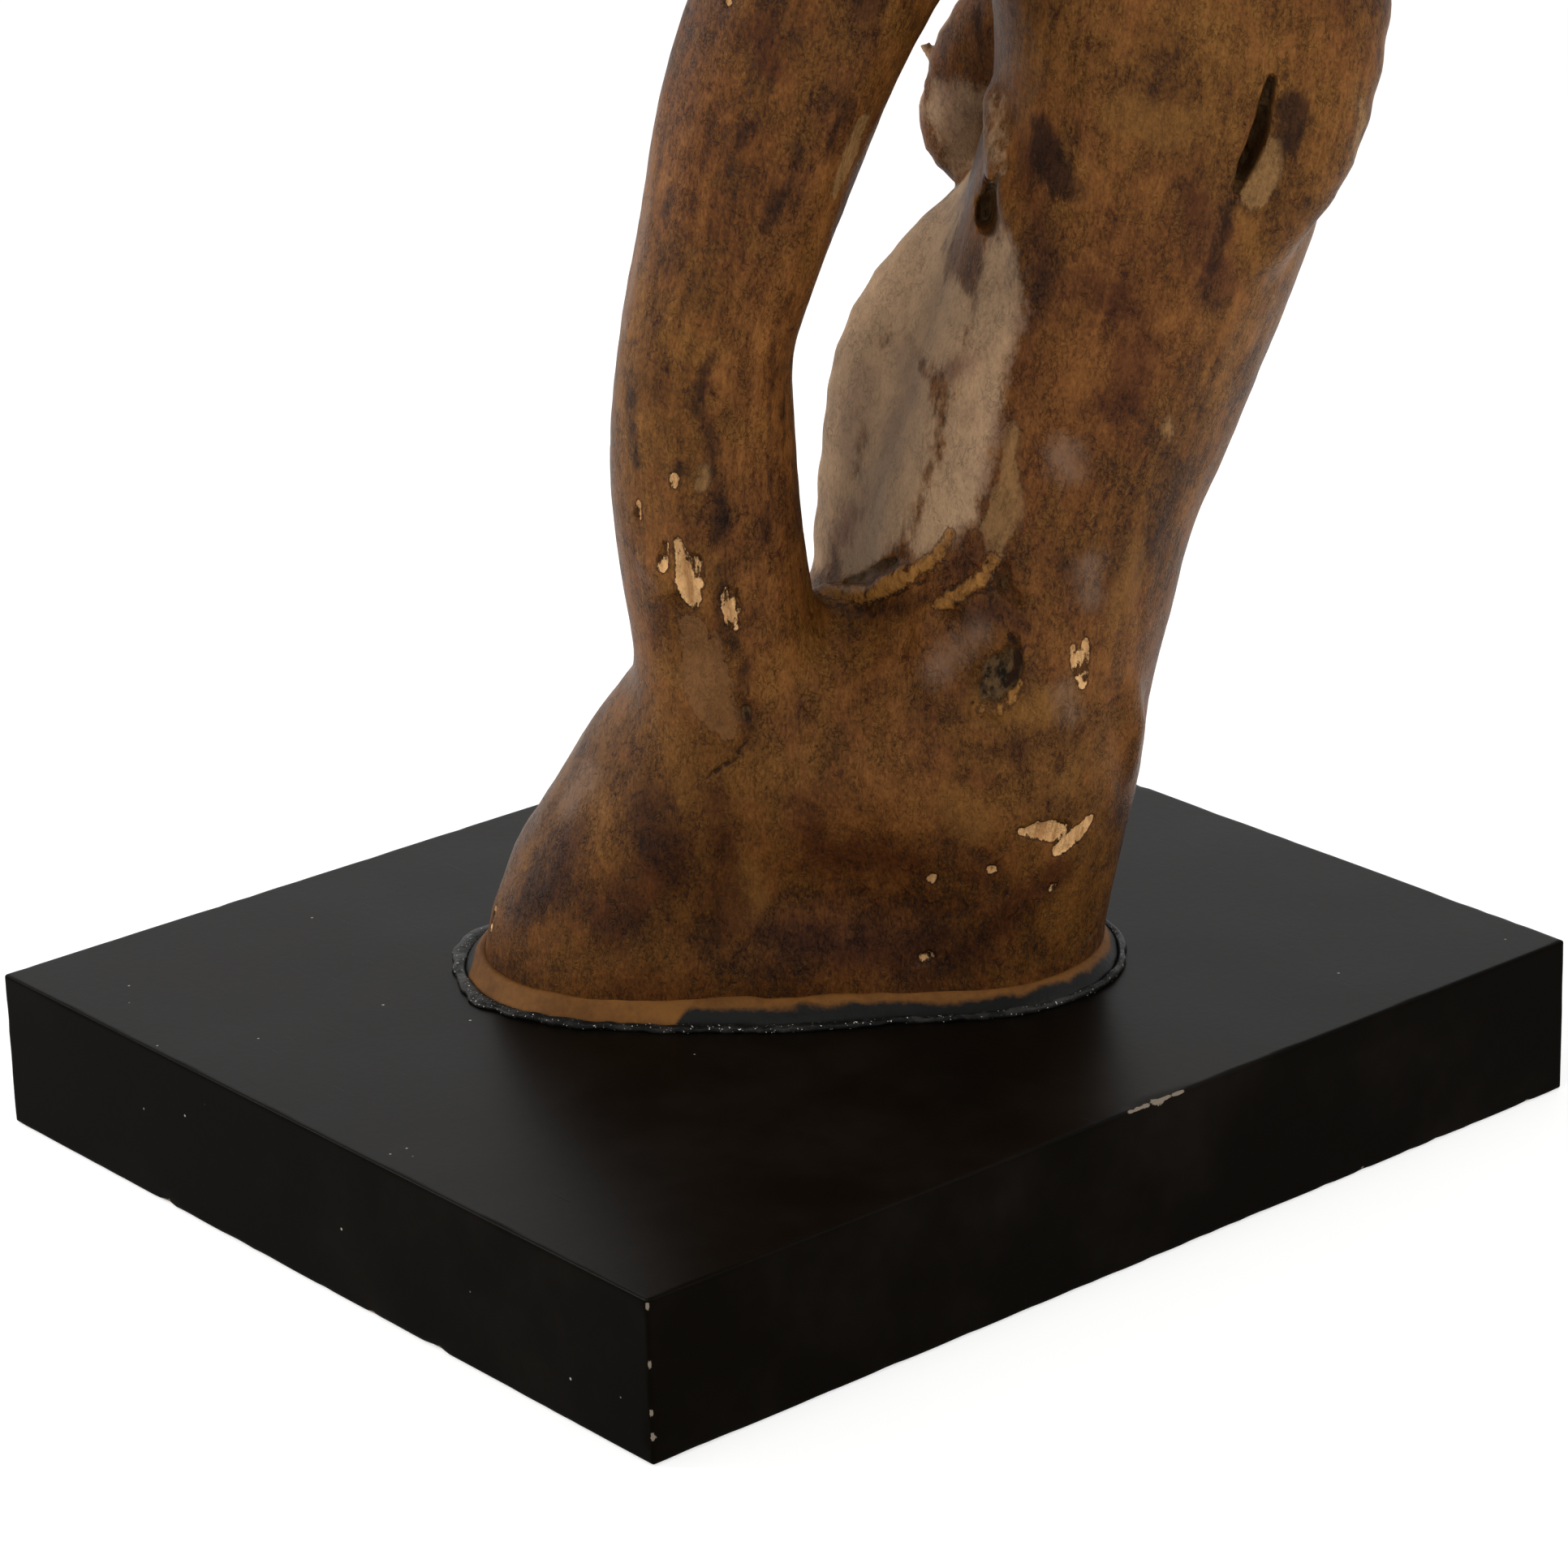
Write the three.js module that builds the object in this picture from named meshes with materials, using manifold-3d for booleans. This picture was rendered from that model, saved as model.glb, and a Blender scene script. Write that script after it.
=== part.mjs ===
// Driftwood horse head sculpture on its black plinth. Millimetres, +Z up.
//
// Row frame: the origin is the centre of the plinth's underside, and the plinth's sides lie along X and Y.
// The carving stands across the plinth, so it is shaped in a frame of its own, turned about the vertical:
// x runs across the carving, y from the horse's nose to its crest, and z is the height above the floor.

import * as THREE from "three";
import { mergeVertices } from "three/addons/utils/BufferGeometryUtils.js";
import Module from "manifold-3d";

const wasm = await Module();
wasm.setup();

// ---------------------------------------------------------------- driving dimensions

const PLINTH = { width: 630, depth: 730, height: 100, chamfer: 2 };
const CARVING_TURN = -40.5; // degrees about the vertical, from the row frame
const SEAT_GAP = 0.3; // between pieces that touch
const FACET = 23; // side of the carving's facets

// Limbs of the carving, as stations along a spine: x, y, z, half the thickness (across), half the depth.
// blend is the width of the soft join to the rest.
const LIMBS = [
  { // slim stem under the horse's throat, with its flared foot
    blend: 30,
    stations: [
      [0, -94, 50, 84, 90], [4, -86, 150, 82, 79], [14, -58, 215, 72, 53], [28, -40, 262, 62, 50],
      [38, -29, 315, 57, 53], [45, -35, 385, 56, 54], [46, -38, 445, 56, 53], [44, -35, 505, 56, 49],
      [40, -20, 560, 56, 52], [34, -4, 612, 58, 58], [28, 14, 665, 62, 62], [20, 42, 730, 68, 68],
      [10, 80, 810, 76, 80], [2, 110, 900, 82, 90], [0, 134, 990, 76, 88], [0, 142, 1080, 68, 74],
    ],
  },
  { // broad stem that rises from the foot into the neck and its crest
    blend: 30,
    stations: [
      [0, 98, 50, 84, 94], [2, 104, 110, 84, 88], [4, 114, 170, 87, 90], [6, 128, 235, 90, 90],
      [8, 136, 290, 90, 88], [8, 148, 350, 90, 92], [6, 162, 405, 92, 94], [3, 181, 461, 94, 97],
      [0, 202, 517, 95, 97], [0, 221, 572, 97, 99], [0, 238, 633, 100, 102], [0, 247, 705, 100, 109],
      [0, 244, 785, 100, 114], [0, 227, 870, 97, 118], [0, 202, 960, 92, 118], [0, 168, 1060, 86, 112],
      [0, 128, 1160, 80, 102], [0, 92, 1250, 78, 92], [0, 64, 1320, 70, 74],
    ],
  },
  { // blade of wood on the far side, between the stems
    blend: 24,
    stations: [
      [-34, 84, 330, 44, 60], [-40, 93, 420, 44, 60], [-44, 104, 480, 42, 56], [-48, 129, 525, 38, 45],
      [-52, 165, 562, 34, 35], [-46, 194, 600, 30, 30], [-34, 208, 650, 30, 30],
    ],
  },
  { // foot between the stems
    blend: 30,
    stations: [[0, -96, 96, 80, 80], [2, -10, 120, 92, 96], [0, 100, 96, 80, 82]],
  },
  { // crotch above the foot
    blend: 30,
    stations: [[4, -36, 205, 82, 90], [6, 30, 235, 84, 92], [8, 96, 245, 86, 92]],
  },
  { // broken root that hangs behind the gap
    blend: 10,
    stations: [
      [-60, 190, 700, 30, 34], [-74, 146, 655, 26, 34], [-80, 124, 620, 22, 26],
      [-82, 117, 592, 15, 18], [-80, 126, 568, 8, 9],
    ],
  },
  { // thick lock of the mane that lies along the crest
    blend: 16,
    stations: [
      [66, 284, 572, 20, 22], [60, 302, 622, 32, 38], [50, 316, 700, 38, 44], [38, 314, 800, 38, 46],
      [26, 290, 910, 36, 42], [14, 246, 1030, 32, 38], [6, 192, 1140, 28, 34], [0, 140, 1240, 26, 34],
      [0, 96, 1320, 26, 34],
    ],
  },
];

const POLL = { y: 42, z: 1368 }; // top of the head, where the ears stand
const FACE_TILT = 52; // degrees of the face line below the horizontal

// The head, as stations along the face line: distance from the poll, middle of the depth, half the thickness,
// half the depth. The middle is measured out of the face, so it is negative towards the jaw.
const HEAD = [
  [0, -40, 72, 84], [60, -52, 78, 110], [120, -64, 80, 130], [190, -66, 74, 136], [260, -62, 60, 119],
  [340, -54, 50, 95], [420, -48, 46, 77], [490, -44, 48, 68], [545, -47, 52, 63], [582, -52, 42, 50],
];

// Bosses on both sides of the head: across, along the face, out of the face; then half-sizes and blend.
const BOSSES = [
  { at: [60, 158, 22], half: [26, 60, 26], blend: 26 }, // brow over the eye
  { at: [64, 172, -8], half: [24, 24, 20], blend: 8 }, // eyeball
  { at: [38, 270, -30], half: [26, 115, 15], blend: 26 }, // ridge of the cheekbone
  { at: [42, 180, -116], half: [46, 100, 86], blend: 16 }, // cheek
  { at: [38, 552, -26], half: [20, 34, 26], blend: 12 }, // nostril
  { at: [0, 545, -110], half: [36, 46, 26], blend: 18 }, // chin
];

// One ear, as stations in the carving's frame, mirrored for the other.
const EAR = {
  blend: 14,
  stations: [[36, 38, 1392, 26, 32], [52, 28, 1448, 27, 36], [60, 14, 1498, 18, 24], [58, 2, 1538, 6, 8]],
};

// A lock that falls over the forehead, in the head's frame.
const FORELOCK = {
  blend: 8,
  stations: [[0, -30, 46, 20, 20], [9, 40, 62, 20, 16], [-7, 100, 66, 17, 13], [7, 158, 66, 6, 6]],
};

// Locks of the mane, one below the other on each side. Each falls from the crest onto the neck's side.
const MANE = {
  locks: 5, // on each side
  top: 1345, // height at which the first one starts, on the near side
  spacing: 100,
  fall: 205,
  rootInset: 8, // depth in from the crest
  tipInset: 104,
  thickness: [[0, 8], [0.25, 25], [0.55, 23], [0.82, 14], [1, 6]], // way along the lock, half-thickness
  blend: 7,
};
// Neck under the mane, as stations: height, depth of the crest, half the neck's thickness.
const CREST = [
  [1350, 92, 64], [1230, 180, 74], [1120, 248, 82], [1010, 304, 90], [900, 340, 95], [800, 358, 100],
  [680, 358, 100],
];
const NECK_DEPTH = 115; // half the neck's depth

// Rings round the foot. reach is how far the ring's outer edge lies from the wood, and rise is its height.
// Both are narrowest at the foot's two ends.
const FILLER = { reach: 16, rise: 14, clearance: 1, waist: { reach: 0.5, rise: 0.4 }, lip: 2 };
const BEAD = { width: 11, rise: 6, arc: [0, 0.25, 0.5, 0.75] }; // arc: parts of the half turn over its top
const RING_NARROWEST = 0.55;
const RING_STEPS = 56;
const FOOT_SEARCH = 260; // beyond the foot in every direction
const FOOT_SEARCH_STEPS = 30;

// ---------------------------------------------------------------- distance field of the carving

// Distances are negative inside the wood. All fields take x, y, z in the carving's frame.

const softMin = (a, b, width) => {
  const overlap = Math.max(width - Math.abs(a - b), 0) / width;
  return Math.min(a, b) - (overlap * overlap * width) / 4;
};

// Distance to an ellipsoid with half-sizes a, b, c, from a point in its own frame.
const ellipsoid = (x, y, z, a, b, c) => {
  const reach = Math.hypot(x / a, y / b, z / c);
  const slope = Math.hypot(x / (a * a), y / (b * b), z / (c * c));
  return slope > 0 ? (reach * (reach - 1)) / slope : -Math.min(a, b, c);
};

const SPINE_STEPS = 3; // straight pieces between two stations
const SPINE_BLEND = 6; // soft join between them

// A limb: an elliptical section carried along a smooth spine through its stations.
const limb = (stations) => {
  const curve = (points) => new THREE.CatmullRomCurve3(points, false, "catmullrom");
  const spine = curve(stations.map(([x, y, z]) => new THREE.Vector3(x, y, z)));
  const size = curve(stations.map((station) => new THREE.Vector3(...station.slice(3), 0)));
  const count = (stations.length - 1) * SPINE_STEPS;
  const pieces = [];
  for (let i = 0; i < count; i += 1) {
    const start = spine.getPoint(i / count);
    const along = spine.getPoint((i + 1) / count).sub(start);
    const axis = along.clone().normalize();
    const across = new THREE.Vector3(1, 0, 0).addScaledVector(axis, -axis.x).normalize();
    const deep = new THREE.Vector3().crossVectors(axis, across);
    const from = size.getPoint(i / count);
    const grow = size.getPoint((i + 1) / count).sub(from);
    pieces.push({ start, along, axis, across, deep, from, grow, lengthSquared: along.lengthSq() });
  }
  const point = new THREE.Vector3();
  return (x, y, z) => {
    let distance = Infinity;
    for (const p of pieces) {
      point.set(x, y, z).sub(p.start);
      const t = THREE.MathUtils.clamp(point.dot(p.along) / p.lengthSquared, 0, 1);
      const halfAcross = p.from.x + t * p.grow.x;
      const halfDeep = p.from.y + t * p.grow.y;
      point.addScaledVector(p.along, -t);
      const place = [point.dot(p.across), point.dot(p.deep), point.dot(p.axis)];
      const d = ellipsoid(...place, halfAcross, halfDeep, Math.min(halfAcross, halfDeep));
      distance = distance === Infinity ? d : softMin(distance, d, SPINE_BLEND);
    }
    return distance;
  };
};

// The head lies in a frame along its face line: across, along the face, out of the face.
const faceCos = Math.cos(THREE.MathUtils.degToRad(FACE_TILT));
const faceSin = Math.sin(THREE.MathUtils.degToRad(FACE_TILT));
const alongFace = (y, z) => -(y - POLL.y) * faceCos - (z - POLL.z) * faceSin;
const outOfFace = (y, z) => -(y - POLL.y) * faceSin + (z - POLL.z) * faceCos;

const headLimb = limb(HEAD.map((station) => [0, ...station]));
const head = (x, y, z) => {
  const along = alongFace(y, z);
  const out = outOfFace(y, z);
  let distance = headLimb(x, along, out);
  for (const { at, half, blend } of BOSSES) {
    const boss = ellipsoid(Math.abs(x) - at[0], along - at[1], out - at[2], ...half);
    distance = softMin(distance, boss, blend);
  }
  return distance;
};

const earLimb = limb(EAR.stations);
const ears = (x, y, z) => earLimb(Math.abs(x), y, z);

const forelockLimb = limb(FORELOCK.stations);
const forelock = (x, y, z) => forelockLimb(x, alongFace(y, z), outOfFace(y, z));

// Crest depth and half-thickness of the neck at a height.
const neckAt = (height) => {
  const below = Math.max(CREST.findIndex(([z]) => z <= height), 1);
  const [a, b] = [CREST[below - 1], CREST[below]];
  const t = (height - a[0]) / (b[0] - a[0]);
  return { depth: THREE.MathUtils.lerp(a[1], b[1], t), half: THREE.MathUtils.lerp(a[2], b[2], t) };
};

const maneLock = (side, top) => {
  const stations = MANE.thickness.map(([t, half]) => {
    const height = top - MANE.fall * t;
    const neck = neckAt(height);
    const inset = THREE.MathUtils.lerp(MANE.rootInset, MANE.tipInset, Math.sin((t * Math.PI) / 2));
    const spread = Math.sqrt(1 - (1 - inset / NECK_DEPTH) ** 2);
    return [side * neck.half * spread, neck.depth - inset, height, half, half];
  });
  return limb(stations);
};
const locks = Array.from({ length: MANE.locks }, (_, index) => MANE.top - index * MANE.spacing)
  .flatMap((top) => [maneLock(1, top), maneLock(-1, top - MANE.spacing / 2)]);

const limbs = LIMBS.map(({ stations, blend }) => ({ distance: limb(stations), blend }));
const HEAD_BLEND = 40;

const carving = (x, y, z) => {
  let distance = limbs[0].distance(x, y, z);
  for (const part of limbs.slice(1)) {
    distance = softMin(distance, part.distance(x, y, z), part.blend);
  }
  distance = softMin(distance, head(x, y, z), HEAD_BLEND);
  distance = softMin(distance, ears(x, y, z), EAR.blend);
  distance = softMin(distance, forelock(x, y, z), FORELOCK.blend);
  for (const lock of locks) {
    distance = softMin(distance, lock(x, y, z), MANE.blend);
  }
  return distance;
};

// ---------------------------------------------------------------- skin over the distance field

const SETTLE_STEPS = 3;
const GRADIENT_REACH = 0.5;

// Moves a point straight onto the surface of the field.
const settle = (field, point) => {
  const h = GRADIENT_REACH;
  for (let step = 0; step < SETTLE_STEPS; step += 1) {
    const { x, y, z } = point;
    const slope = new THREE.Vector3(
      field(x + h, y, z) - field(x - h, y, z),
      field(x, y + h, z) - field(x, y - h, z),
      field(x, y, z + h) - field(x, y, z - h),
    ).normalize();
    point.addScaledVector(slope, -THREE.MathUtils.clamp(field(x, y, z), -FACET / 4, FACET / 4));
  }
  return point;
};

// Makes wood of a node wherever two parts of the wood would meet only at a grid edge, so the skin never
// pinches.
const closePinches = (values, count, node) => {
  const axes = [[1, 0, 0], [0, 1, 0], [0, 0, 1]];
  const faces = [[axes[0], axes[1]], [axes[1], axes[2]], [axes[2], axes[0]]];
  let changed = true;
  while (changed) {
    changed = false;
    for (let i = 0; i + 1 < count.x; i += 1) {
      for (let j = 0; j + 1 < count.y; j += 1) {
        for (let k = 0; k + 1 < count.z; k += 1) {
          for (const [u, v] of faces) {
            const ring = [
              node(i, j, k),
              node(i + u[0], j + u[1], k + u[2]),
              node(i + u[0] + v[0], j + u[1] + v[1], k + u[2] + v[2]),
              node(i + v[0], j + v[1], k + v[2]),
            ];
            const wood = ring.map((n) => values[n] < 0);
            if (wood[0] !== wood[2] || wood[1] !== wood[3] || wood[0] === wood[1]) continue;
            const open = ring.filter((n) => values[n] >= 0);
            values[values[open[0]] < values[open[1]] ? open[0] : open[1]] = -GRADIENT_REACH;
            changed = true;
          }
        }
      }
    }
  }
};

// Faceted skin of a field inside a box: one corner in each cell that the surface crosses, and one four-sided
// facet, split on its shorter diagonal, across each grid edge that it crosses.
const skin = (field, box, cell) => {
  const count = box.getSize(new THREE.Vector3()).divideScalar(cell).ceil().addScalar(1);
  const node = (i, j, k) => (i * count.y + j) * count.z + k;
  const values = new Float64Array(count.x * count.y * count.z);
  const eachNode = (visit) => {
    for (let i = 0; i < count.x; i += 1) {
      for (let j = 0; j < count.y; j += 1) {
        for (let k = 0; k < count.z; k += 1) visit(i, j, k);
      }
    }
  };
  eachNode((i, j, k) => {
    values[node(i, j, k)] = field(box.min.x + i * cell, box.min.y + j * cell, box.min.z + k * cell);
  });

  closePinches(values, count, node);

  const corners = [];
  const cornerOf = new Map();
  const ends = [[0, 0, 0], [1, 0, 0], [0, 1, 0], [1, 1, 0], [0, 0, 1], [1, 0, 1], [0, 1, 1], [1, 1, 1]];
  const edges = ends.flatMap((a, i) => ends.map((b, j) => [a, b, i ^ j, i < j]))
    .filter(([, , bits, ordered]) => ordered && (bits === 1 || bits === 2 || bits === 4));
  eachNode((i, j, k) => {
    if (i + 1 === count.x || j + 1 === count.y || k + 1 === count.z) return;
    const sum = new THREE.Vector3();
    let crossings = 0;
    for (const [a, b] of edges) {
      const va = values[node(i + a[0], j + a[1], k + a[2])];
      const vb = values[node(i + b[0], j + b[1], k + b[2])];
      if (va < 0 === vb < 0) continue;
      const t = va / (va - vb);
      sum.add(new THREE.Vector3(...a).lerp(new THREE.Vector3(...b), t));
      crossings += 1;
    }
    if (crossings === 0) return;
    sum.divideScalar(crossings).add(new THREE.Vector3(i, j, k)).multiplyScalar(cell).add(box.min);
    cornerOf.set(node(i, j, k), corners.length);
    corners.push(settle(field, sum));
  });

  const triangles = [];
  const addFacet = (ring) => {
    const [a, b, c, d] = ring;
    const shortFirst = corners[a].distanceTo(corners[c]) < corners[b].distanceTo(corners[d]);
    triangles.push(...(shortFirst ? [a, b, c, a, c, d] : [b, c, d, b, d, a]));
  };
  const axes = [[1, 0, 0], [0, 1, 0], [0, 0, 1]];
  eachNode((i, j, k) => {
    axes.forEach((step, axis) => {
      const [u, v] = [axes[(axis + 1) % 3], axes[(axis + 2) % 3]];
      const inside = values[node(i, j, k)] < 0;
      const last = [i + step[0], j + step[1], k + step[2]];
      if (last[0] === count.x || last[1] === count.y || last[2] === count.z) return;
      if (inside === values[node(...last)] < 0) return;
      const cellAt = (a, b) => {
        const [x, y, z] = [0, 1, 2].map((n) => a * u[n] + b * v[n]);
        return cornerOf.get(node(i - x, j - y, k - z));
      };
      const ring = [cellAt(1, 1), cellAt(0, 1), cellAt(0, 0), cellAt(1, 0)];
      if (ring.includes(undefined)) return;
      addFacet(inside ? ring : ring.reverse());
    });
  });

  const geometry = new THREE.BufferGeometry();
  geometry.setAttribute("position", new THREE.Float32BufferAttribute(corners.flatMap((c) => c.toArray()), 3));
  geometry.setIndex(triangles);
  return geometry;
};

// ---------------------------------------------------------------- solids

const WELD = 1e-4; // corners closer than this are one

// A closed mesh geometry as a manifold solid, and back.
const toSolid = (geometry) => {
  const bare = geometry.clone();
  bare.deleteAttribute("normal");
  bare.deleteAttribute("uv");
  const merged = mergeVertices(bare, WELD);
  const mesh = new wasm.Mesh({
    numProp: 3,
    vertProperties: new Float32Array(merged.attributes.position.array),
    triVerts: new Uint32Array(merged.index.array),
  });
  return new wasm.Manifold(mesh);
};

const toGeometry = (solid) => {
  const mesh = solid.getMesh();
  const geometry = new THREE.BufferGeometry();
  geometry.setAttribute("position", new THREE.BufferAttribute(mesh.vertProperties, 3));
  geometry.setIndex(new THREE.BufferAttribute(mesh.triVerts, 1));
  geometry.computeVertexNormals();
  return geometry;
};

const SEAT = PLINTH.height + SEAT_GAP; // height at which the wood and the rings stand

// Distance from the carving's axis to the outside of the foot, in the direction given.
const footEdge = (angle) => {
  const reaches = [0, FILLER.rise / 2, FILLER.rise].map((height) => {
    let reach = FOOT_SEARCH;
    for (let step = 0; step < FOOT_SEARCH_STEPS; step += 1) {
      reach -= carving(Math.cos(angle) * reach, Math.sin(angle) * reach, SEAT + height);
    }
    return reach;
  });
  return Math.max(...reaches);
};

// A ring round the foot with the given section, a list of [distance from the wood, height above the plinth].
const footRing = (section) => {
  const positions = [];
  const indices = [];
  const points = section.length;
  for (let i = 0; i < RING_STEPS; i += 1) {
    const angle = (i / RING_STEPS) * Math.PI * 2;
    const edge = footEdge(angle) + FILLER.clearance;
    const fullness = THREE.MathUtils.lerp(RING_NARROWEST, 1, Math.abs(Math.cos(angle)));
    for (const [away, height] of section) {
      const reach = edge + away * fullness;
      positions.push(Math.cos(angle) * reach, Math.sin(angle) * reach, SEAT + height);
    }
    const next = (i + 1) % RING_STEPS;
    for (let j = 0; j < points; j += 1) {
      const [a, b] = [i * points + j, i * points + ((j + 1) % points)];
      const [c, d] = [next * points + ((j + 1) % points), next * points + j];
      indices.push(a, c, b, a, d, c);
    }
  }
  const geometry = new THREE.BufferGeometry();
  geometry.setAttribute("position", new THREE.Float32BufferAttribute(positions, 3));
  geometry.setIndex(indices);
  return geometry;
};

// ---------------------------------------------------------------- pieces

const WOOD_BOX = new THREE.Box3(new THREE.Vector3(-150, -360, 40), new THREE.Vector3(150, 430, 1580));
const ROUGH_END = 66; // height at which the wood ends before its foot is cut flat
const FOOT_CUT = { side: 1000, depth: 200 }; // block that cuts it

const driftwood = () => {
  const field = (x, y, z) => Math.max(carving(x, y, z), ROUGH_END - z);
  const wood = toSolid(skin(field, WOOD_BOX, FACET));
  const { side, depth } = FOOT_CUT;
  const below = new THREE.BoxGeometry(side, side, depth).translate(0, 0, SEAT - depth / 2);
  return toGeometry(wood.subtract(toSolid(below)));
};

const plinth = () => {
  const { width, depth, height, chamfer } = PLINTH;
  const [halfX, halfY] = [width / 2 - chamfer, depth / 2 - chamfer];
  const outline = new THREE.Shape([
    new THREE.Vector2(-halfX, -halfY),
    new THREE.Vector2(halfX, -halfY),
    new THREE.Vector2(halfX, halfY),
    new THREE.Vector2(-halfX, halfY),
  ]);
  return new THREE.ExtrudeGeometry(outline, {
    depth: height - 2 * chamfer,
    bevelThickness: chamfer,
    bevelSize: chamfer,
    bevelSegments: 1,
  }).translate(0, 0, chamfer);
};

const filler = () => footRing([
  [0, 0],
  [FILLER.reach, 0],
  [FILLER.reach * FILLER.waist.reach, FILLER.rise * FILLER.waist.rise],
  [FILLER.lip, FILLER.rise],
  [0, FILLER.rise],
]);

const bead = () => {
  const inner = FILLER.reach + SEAT_GAP / RING_NARROWEST;
  const over = BEAD.arc.map((part) => [
    inner + (BEAD.width / 2) * (1 + Math.cos(part * Math.PI)),
    BEAD.rise * Math.sin(part * Math.PI),
  ]);
  return footRing([...over, [inner, 0]]);
};

const piece = (name, geometry, color, roughness, metalness = 0) => {
  const mesh = new THREE.Mesh(geometry, new THREE.MeshStandardMaterial({ color, roughness, metalness }));
  mesh.name = name;
  return mesh;
};

const carvingFrame = new THREE.Group();
carvingFrame.rotation.z = THREE.MathUtils.degToRad(CARVING_TURN);
carvingFrame.add(
  piece("driftwood_horse", driftwood(), 0x6f4a2a, 0.55),
  piece("foot_filler", filler(), 0x7a4a24, 0.6),
  piece("black_sealant_bead", bead(), 0x15181b, 0.35),
);

const sculpture = new THREE.Group();
sculpture.add(piece("plinth", plinth(), 0x120d0b, 0.4), carvingFrame);

export default sculpture;
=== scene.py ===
"""Driftwood horse head on its black plinth: the looks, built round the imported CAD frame.

Everything that Blender gets is in metres, in the frame's own axes. The carving is shaped first in
millimetres, in a frame of its own that is turned about the vertical: x runs across the carving, y from the
horse's nose to its crest, and z is the height above the floor.
"""

import math
from types import SimpleNamespace

import bpy
import numpy as np
from mathutils import Matrix, Vector


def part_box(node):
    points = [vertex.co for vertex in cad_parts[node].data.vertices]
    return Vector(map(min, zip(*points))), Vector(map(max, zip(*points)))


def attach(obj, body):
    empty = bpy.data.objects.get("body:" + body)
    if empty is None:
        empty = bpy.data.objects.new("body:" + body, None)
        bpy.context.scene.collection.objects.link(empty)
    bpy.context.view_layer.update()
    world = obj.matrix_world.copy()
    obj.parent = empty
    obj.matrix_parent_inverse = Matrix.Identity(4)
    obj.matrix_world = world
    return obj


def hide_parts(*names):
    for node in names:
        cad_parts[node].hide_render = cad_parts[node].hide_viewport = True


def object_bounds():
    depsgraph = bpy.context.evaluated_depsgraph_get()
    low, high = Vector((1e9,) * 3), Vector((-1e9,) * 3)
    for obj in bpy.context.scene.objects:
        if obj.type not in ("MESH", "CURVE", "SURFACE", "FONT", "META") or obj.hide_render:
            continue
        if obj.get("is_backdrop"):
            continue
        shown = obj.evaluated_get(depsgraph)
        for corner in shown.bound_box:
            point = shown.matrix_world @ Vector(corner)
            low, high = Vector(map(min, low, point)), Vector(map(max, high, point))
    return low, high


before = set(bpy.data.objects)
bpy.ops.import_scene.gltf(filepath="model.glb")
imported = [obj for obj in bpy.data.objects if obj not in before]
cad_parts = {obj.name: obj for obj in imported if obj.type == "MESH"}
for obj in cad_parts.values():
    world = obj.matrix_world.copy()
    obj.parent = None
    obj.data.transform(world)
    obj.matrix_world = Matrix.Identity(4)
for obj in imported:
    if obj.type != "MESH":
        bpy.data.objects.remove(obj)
CAD_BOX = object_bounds()

MM = 0.001

# ---------------------------------------------------------------- the carving's form, in millimetres

CARVING_TURN = math.radians(-40.5)
PLINTH_LOW, PLINTH_HIGH = (np.array(corner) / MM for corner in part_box("plinth"))
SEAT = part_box("driftwood_horse")[0][2] / MM  # height at which the wood stands

# Limbs of the carving, as stations along a spine: x, y, z, half the thickness (across), half the depth.
# Each limb's first number is the width of its soft join to the rest.
FRONT_STEM = (30, [
    (0, -94, 50, 84, 90), (4, -86, 150, 82, 79), (14, -58, 215, 72, 53), (28, -40, 262, 62, 50),
    (38, -29, 315, 57, 53), (45, -35, 385, 56, 54), (46, -38, 445, 56, 53), (44, -35, 505, 56, 49),
    (40, -20, 560, 56, 52), (34, -4, 612, 58, 58), (28, 14, 665, 62, 62), (20, 42, 730, 68, 68),
    (10, 80, 810, 76, 80), (2, 110, 900, 82, 90), (0, 134, 990, 76, 88), (0, 142, 1080, 68, 74),
])
BROAD_STEM = (30, [
    (0, 98, 50, 84, 94), (2, 104, 110, 84, 88), (4, 114, 170, 87, 90), (6, 128, 235, 90, 90),
    (8, 136, 290, 90, 88), (8, 148, 350, 90, 92), (6, 162, 405, 92, 94), (3, 181, 461, 94, 97),
    (0, 202, 517, 95, 97), (0, 221, 572, 97, 99), (0, 238, 633, 100, 102), (0, 247, 705, 100, 109),
    (0, 244, 785, 100, 114), (0, 227, 870, 97, 118), (0, 202, 960, 92, 118), (0, 168, 1060, 86, 112),
    (0, 128, 1160, 80, 102), (0, 92, 1250, 78, 92), (0, 64, 1320, 70, 74),
])
BLADE = (24, [
    (-34, 84, 330, 44, 60), (-40, 93, 420, 44, 60), (-44, 104, 480, 42, 56), (-48, 129, 525, 38, 45),
    (-52, 165, 562, 34, 35), (-46, 194, 600, 30, 30), (-34, 208, 650, 30, 30),
])
FOOT = (30, [(0, -96, 96, 80, 80), (2, -10, 120, 92, 96), (0, 100, 96, 80, 82)])
CROTCH = (30, [(4, -36, 205, 82, 90), (6, 30, 235, 84, 92), (8, 96, 245, 86, 92)])
BROKEN_ROOT = (10, [
    (-60, 190, 700, 30, 34), (-74, 146, 655, 26, 34), (-80, 124, 620, 22, 26), (-82, 117, 592, 15, 18),
    (-80, 126, 568, 8, 9),
])
CREST_LOCK = (16, [
    (66, 284, 572, 20, 22), (60, 302, 622, 32, 38), (50, 316, 700, 38, 44), (38, 314, 800, 38, 46),
    (26, 290, 910, 36, 42), (14, 246, 1030, 32, 38), (6, 192, 1140, 28, 34), (0, 140, 1240, 26, 34),
    (0, 96, 1320, 26, 34),
])
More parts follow.
